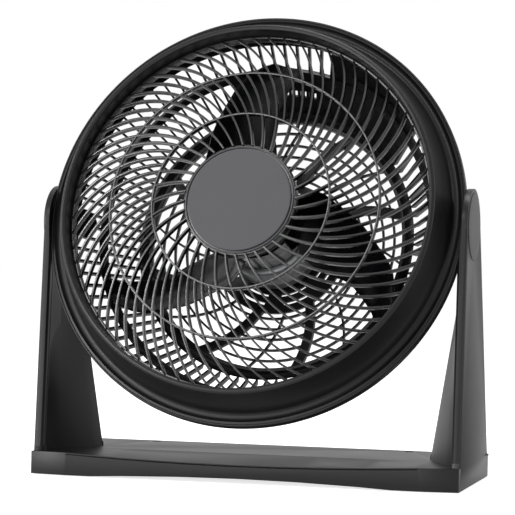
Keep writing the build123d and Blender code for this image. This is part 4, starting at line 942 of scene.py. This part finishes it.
# %% Motor cover and cable gland
COVER_RADIUS, COVER_BACK, COVER_WALL = 40.0, -82.5, 2.2
GLAND_DROP, GLAND_RADIUS, NECK_RADIUS, CABLE_RADIUS = 22.0, 7.5, 5.75, 3.6
GLAND = HEAD @ Matrix.Translation(Vector((0, -GLAND_DROP, 0)) * MM)
cover_inside, gland_front = COVER_BACK + COVER_WALL, COVER_BACK + 3.6
cover_profile = [(0.0, COVER_BACK), (34.5, COVER_BACK)]
cover_profile += [(COVER_RADIUS, COVER_BACK + 3.6), (COVER_RADIUS, PLATE_BACK)]
cover_profile = rounded(cover_profile, 2.5, 5, closed=False)
cover_profile += [(COVER_RADIUS - COVER_WALL, PLATE_BACK), (37.0, COVER_BACK + 5.2)]
cover_profile += [(33.0, cover_inside), (0.0, cover_inside)]
cover = turned(cover_profile, steps=144, closed=False)
cover = solid_mesh("round_cover", cover, smooth_angle=35.0)
hole = [(0.0, COVER_BACK - 2), (5.8, COVER_BACK - 2), (5.8, COVER_BACK + 5), (0.0, COVER_BACK + 5)]
hole = turned(hole, GLAND, 48, closed=False)
show(carved(cover, [hole], 35.0), "round_cover", ["motor_cover"])

gland_end = COVER_BACK - 9.0
gland_profile = [(CABLE_RADIUS, gland_front), (CABLE_RADIUS, gland_end)]
gland_profile += [(5.6, gland_end), (5.8, gland_end + 1.4)]
gland_profile = rounded(gland_profile, 0.5, 3, closed=False)
for k in range(3):
    rib = gland_end + 1.6 + 1.9 * k
    gland_profile += [(6.7, rib), (6.7, rib + 1.0), (5.9, rib + 1.2), (5.9, rib + 1.8)]
gland_profile += [(GLAND_RADIUS, COVER_BACK - 1.6), (GLAND_RADIUS, COVER_BACK - 0.02)]
gland_profile += [(NECK_RADIUS, COVER_BACK), (NECK_RADIUS, cover_inside)]
gland_profile += [(GLAND_RADIUS, COVER_BACK + 2.3), (GLAND_RADIUS, gland_front)]
gland = solid_mesh("ribbed_gland", turned(gland_profile, GLAND, 72), smooth_angle=30.0)
show(gland, "ribbed_gland", ["cable_gland"])

# %% [markdown]
# ## Screws
# The screws that close the housing and the pod have pan heads with a cross recess. One head is
# carved, then repeated.

# %% Screws
SCREW_HEAD, SCREW_HEIGHT, SCREW_RIM, SHANK_RADIUS = 2.45, 1.7, 0.5, 1.3
CROSS_LENGTH, CROSS_WIDTH, CROSS_DEPTH = 2.9, 0.6, 0.8
head_profile = [(0.0, SCREW_HEIGHT)]
for turn in (0.35, 0.7, 1.05, 1.35, pi / 2):
    height = SCREW_RIM + (SCREW_HEIGHT - SCREW_RIM) * cos(turn)
    head_profile.append((SCREW_HEAD * sin(turn), height))
head_profile += [(SCREW_HEAD, 0.0), (0.0, 0.0)]
head = turned(head_profile, Matrix.Identity(4), 32, closed=False)
plain_head = solid_mesh("screw_head", head)
for size in ((CROSS_LENGTH, CROSS_WIDTH), (CROSS_WIDTH, CROSS_LENGTH)):
    recess = box(*size, 0.1, 1)
    low, high = SCREW_HEIGHT - CROSS_DEPTH, SCREW_HEIGHT + 1
    plain_head = carved(plain_head, [prism(recess, Matrix.Identity(4), low, high)])
SCREW_POINTS = [v.co.copy() for v in plain_head.vertices]
SCREW_FACES = [tuple(p.vertices) for p in plain_head.polygons]


def screws(places, shank, squash=1.0):
    """Heads and shanks at several frames, each frame's z pointing out of the head."""
    shapes = []
    stem = [(0.0, -shank), (SHANK_RADIUS, -shank), (SHANK_RADIUS, 0.2), (0.0, 0.2)]
    for place in places:
        points = [place @ Vector((p.x, p.y, p.z * squash)) for p in SCREW_POINTS]
        shapes += [(points, SCREW_FACES), turned(stem, place, 16, closed=False)]
    return joined(shapes)


FLANGE_SCREW_RADIUS, LID_SCREW_X, LID_SCREW_Y = 183.4, 25, 15
places = [spot(FLANGE_SCREW_RADIUS, 30 + 60 * k, FLANGE_BACK) for k in range(6)]
places = [HEAD @ axes(place, (-1, 0, 0), (0, 0, -1)) for place in places]
show(solid_mesh("flange_screws", screws(places, 7.0)), "flange_screws", ["housing_screws"])
places = [(x, y, POD_TOP) for x in (-LID_SCREW_X, LID_SCREW_X) for y in (-LID_SCREW_Y, LID_SCREW_Y)]
places = [POD @ Matrix.Translation(Vector(place) * MM) for place in places]
show(solid_mesh("lid_screws", screws(places, 6.0, 0.5)), "lid_screws", ["pod_screws"])

# %% [markdown]
# ## Motor
# Two die-cast bells hold a stack of thin steel plates between them. Little of it shows, through the
# cage's bars, so only its outside is redrawn round.

# %% Motor bells and core
MOTOR_RADIUS, BELL_INNER, BELL_WALL, SHAFT_HOLE = 40.9, 38.8, 2.2, 9.0
BELLS = (  # name, node, far end, end at the core
    ("rear_bell", "motor_bell_rear", -66.0, -51.0),
    ("front_bell", "motor_bell_front", -20.0, -35.0),
)
for name, node, far, near in BELLS:
    inward = BELL_WALL if near > far else -BELL_WALL
    profile = [(SHAFT_HOLE, far), (MOTOR_RADIUS, far), (MOTOR_RADIUS, near)]
    profile = rounded(profile, 4.0, 6, closed=False)
    profile += [(BELL_INNER, near), (BELL_INNER, far + 2 * inward), (SHAFT_HOLE, far + inward)]
    show(solid_mesh(name, turned(profile, steps=96)), name, [node])

CORE_BORE, CORE_REAR, CORE_FRONT = 23.2, -50.9, -35.1
rim, gap = MOTOR_RADIUS - 0.5, MOTOR_RADIUS - 0.8
core_profile = [(CORE_BORE, CORE_REAR)]
for k in range(16):  # one steel plate a millimetre, with a fine gap after it
    rear = CORE_REAR + k
    core_profile += [(rim, rear), (rim, rear + 0.7), (gap, rear + 0.85)]
core_profile.append((CORE_BORE, CORE_FRONT))
core = solid_mesh("plate_stack", turned(core_profile, steps=96), smooth_angle=20.0)
show(core, "plate_stack", ["stator_core"])

# %% [markdown]
# ## Fan blade
# Three broad blades on a hub, moulded in one piece and polished. Each blade is a thin curved skin:
# its width, pitch and bow change from root to tip. A grid of points follows seven measured
# sections, and a rounded tip ends it.

# %% Fan blade
BLADE_PHASES = (0, 120, 240)
BLADE_SECTIONS = (  # radius, azimuth in degrees, chord, pitch in degrees, bow
    (36.0, -4.0, 60.0, 43.0, 5.0),
    (55.0, -7.0, 74.0, 40.0, 5.0),
    (72.0, -12.5, 67.0, 38.0, 5.0),
    (90.0, -16.0, 58.0, 35.0, 4.5),
    (112.0, -22.5, 50.0, 31.0, 4.0),
    (130.0, -27.5, 46.0, 29.0, 3.5),
    (148.0, -34.5, 37.0, 27.0, 3.0),
)
BLADE_MIDDLE, BLADE_SKIN, TIP_ROUND = 3.5, 2.0, 16.0
HUB_RADIUS = 37.0


def section_at(radius):
    """Azimuth, chord, pitch and bow at a radius, smoothly through the measured sections."""
    last = len(BLADE_SECTIONS) - 1
    k = next((k for k in range(last) if radius <= BLADE_SECTIONS[k + 1][0]), last - 1)
    near = [min(max(j, 0), last) for j in (k - 1, k, k + 1, k + 2)]
    before, low, high, after = [BLADE_SECTIONS[j] for j in near]
    t = (radius - low[0]) / (high[0] - low[0])
    rise = t * t * (3 - 2 * t)
    values = []
    for a, b, c, d in zip(before[1:], low[1:], high[1:], after[1:]):
        leave, arrive = (c - a) / 2, (d - b) / 2
        values.append(b + (c - b) * rise + leave * t * (1 - t) ** 2 - arrive * t * t * (1 - t))
    return values


def blade(phase, across=16, outward=24):
    """One blade as a closed thin skin, row by row from the hub to the tip."""
    root, tip = HUB_RADIUS - 1.5, BLADE_SECTIONS[-1][0]
    front_side, back_side = [], []
    for k in range(outward + 1):
        radius = root + (tip - root) * k / outward
        azimuth, chord, pitch, bow = section_at(radius)
        close_to_tip = max(0.0, (radius - (tip - TIP_ROUND)) / TIP_ROUND)
        chord *= 0.62 + 0.38 * sqrt(1 - min(1.0, close_to_tip) ** 2.4)
        lift, round_by = radians(pitch), spot(1, azimuth + phase + 90)
        up_skin = round_by * -sin(lift) + Vector((0, 0, cos(lift)))
        for j in range(across + 1):
            share = 2 * j / across - 1
            x, sag = share * chord / 2, -bow * (1 - share**2)
            centre = spot(radius, azimuth + phase, BLADE_MIDDLE + x * sin(lift) + sag * cos(lift))
            centre += round_by * (x * cos(lift) - sag * sin(lift))
            thickness = BLADE_SKIN * (0.35 + 0.65 * sqrt(max(0.0, 1 - share**4)))
            front_side.append(HEAD @ (centre * MM))
            back_side.append(HEAD @ ((centre + up_skin * thickness) * MM))
    return thin_skin(front_side, back_side, across + 1)


blades = joined([blade(phase) for phase in BLADE_PHASES])
show(solid_mesh("fan_blades", blades, smooth_angle=50.0), "fan_blades", ["fan_blade"])
cup_profile = [(4.0, 22.0), (30.0, 22.0)] + arc((33.0, 18.0), 4.0, 90, 0, 8)
cup_profile += [(HUB_RADIUS, -14.0), (34.6, -14.0), (34.6, 17.0), (32.0, 19.0)]
cup_profile += [(9.0, 19.0), (9.0, -6.0), (4.0, -6.0)]
show(solid_mesh("fan_hub", turned(cup_profile, steps=120)), "fan_hub", ["fan_blade"])
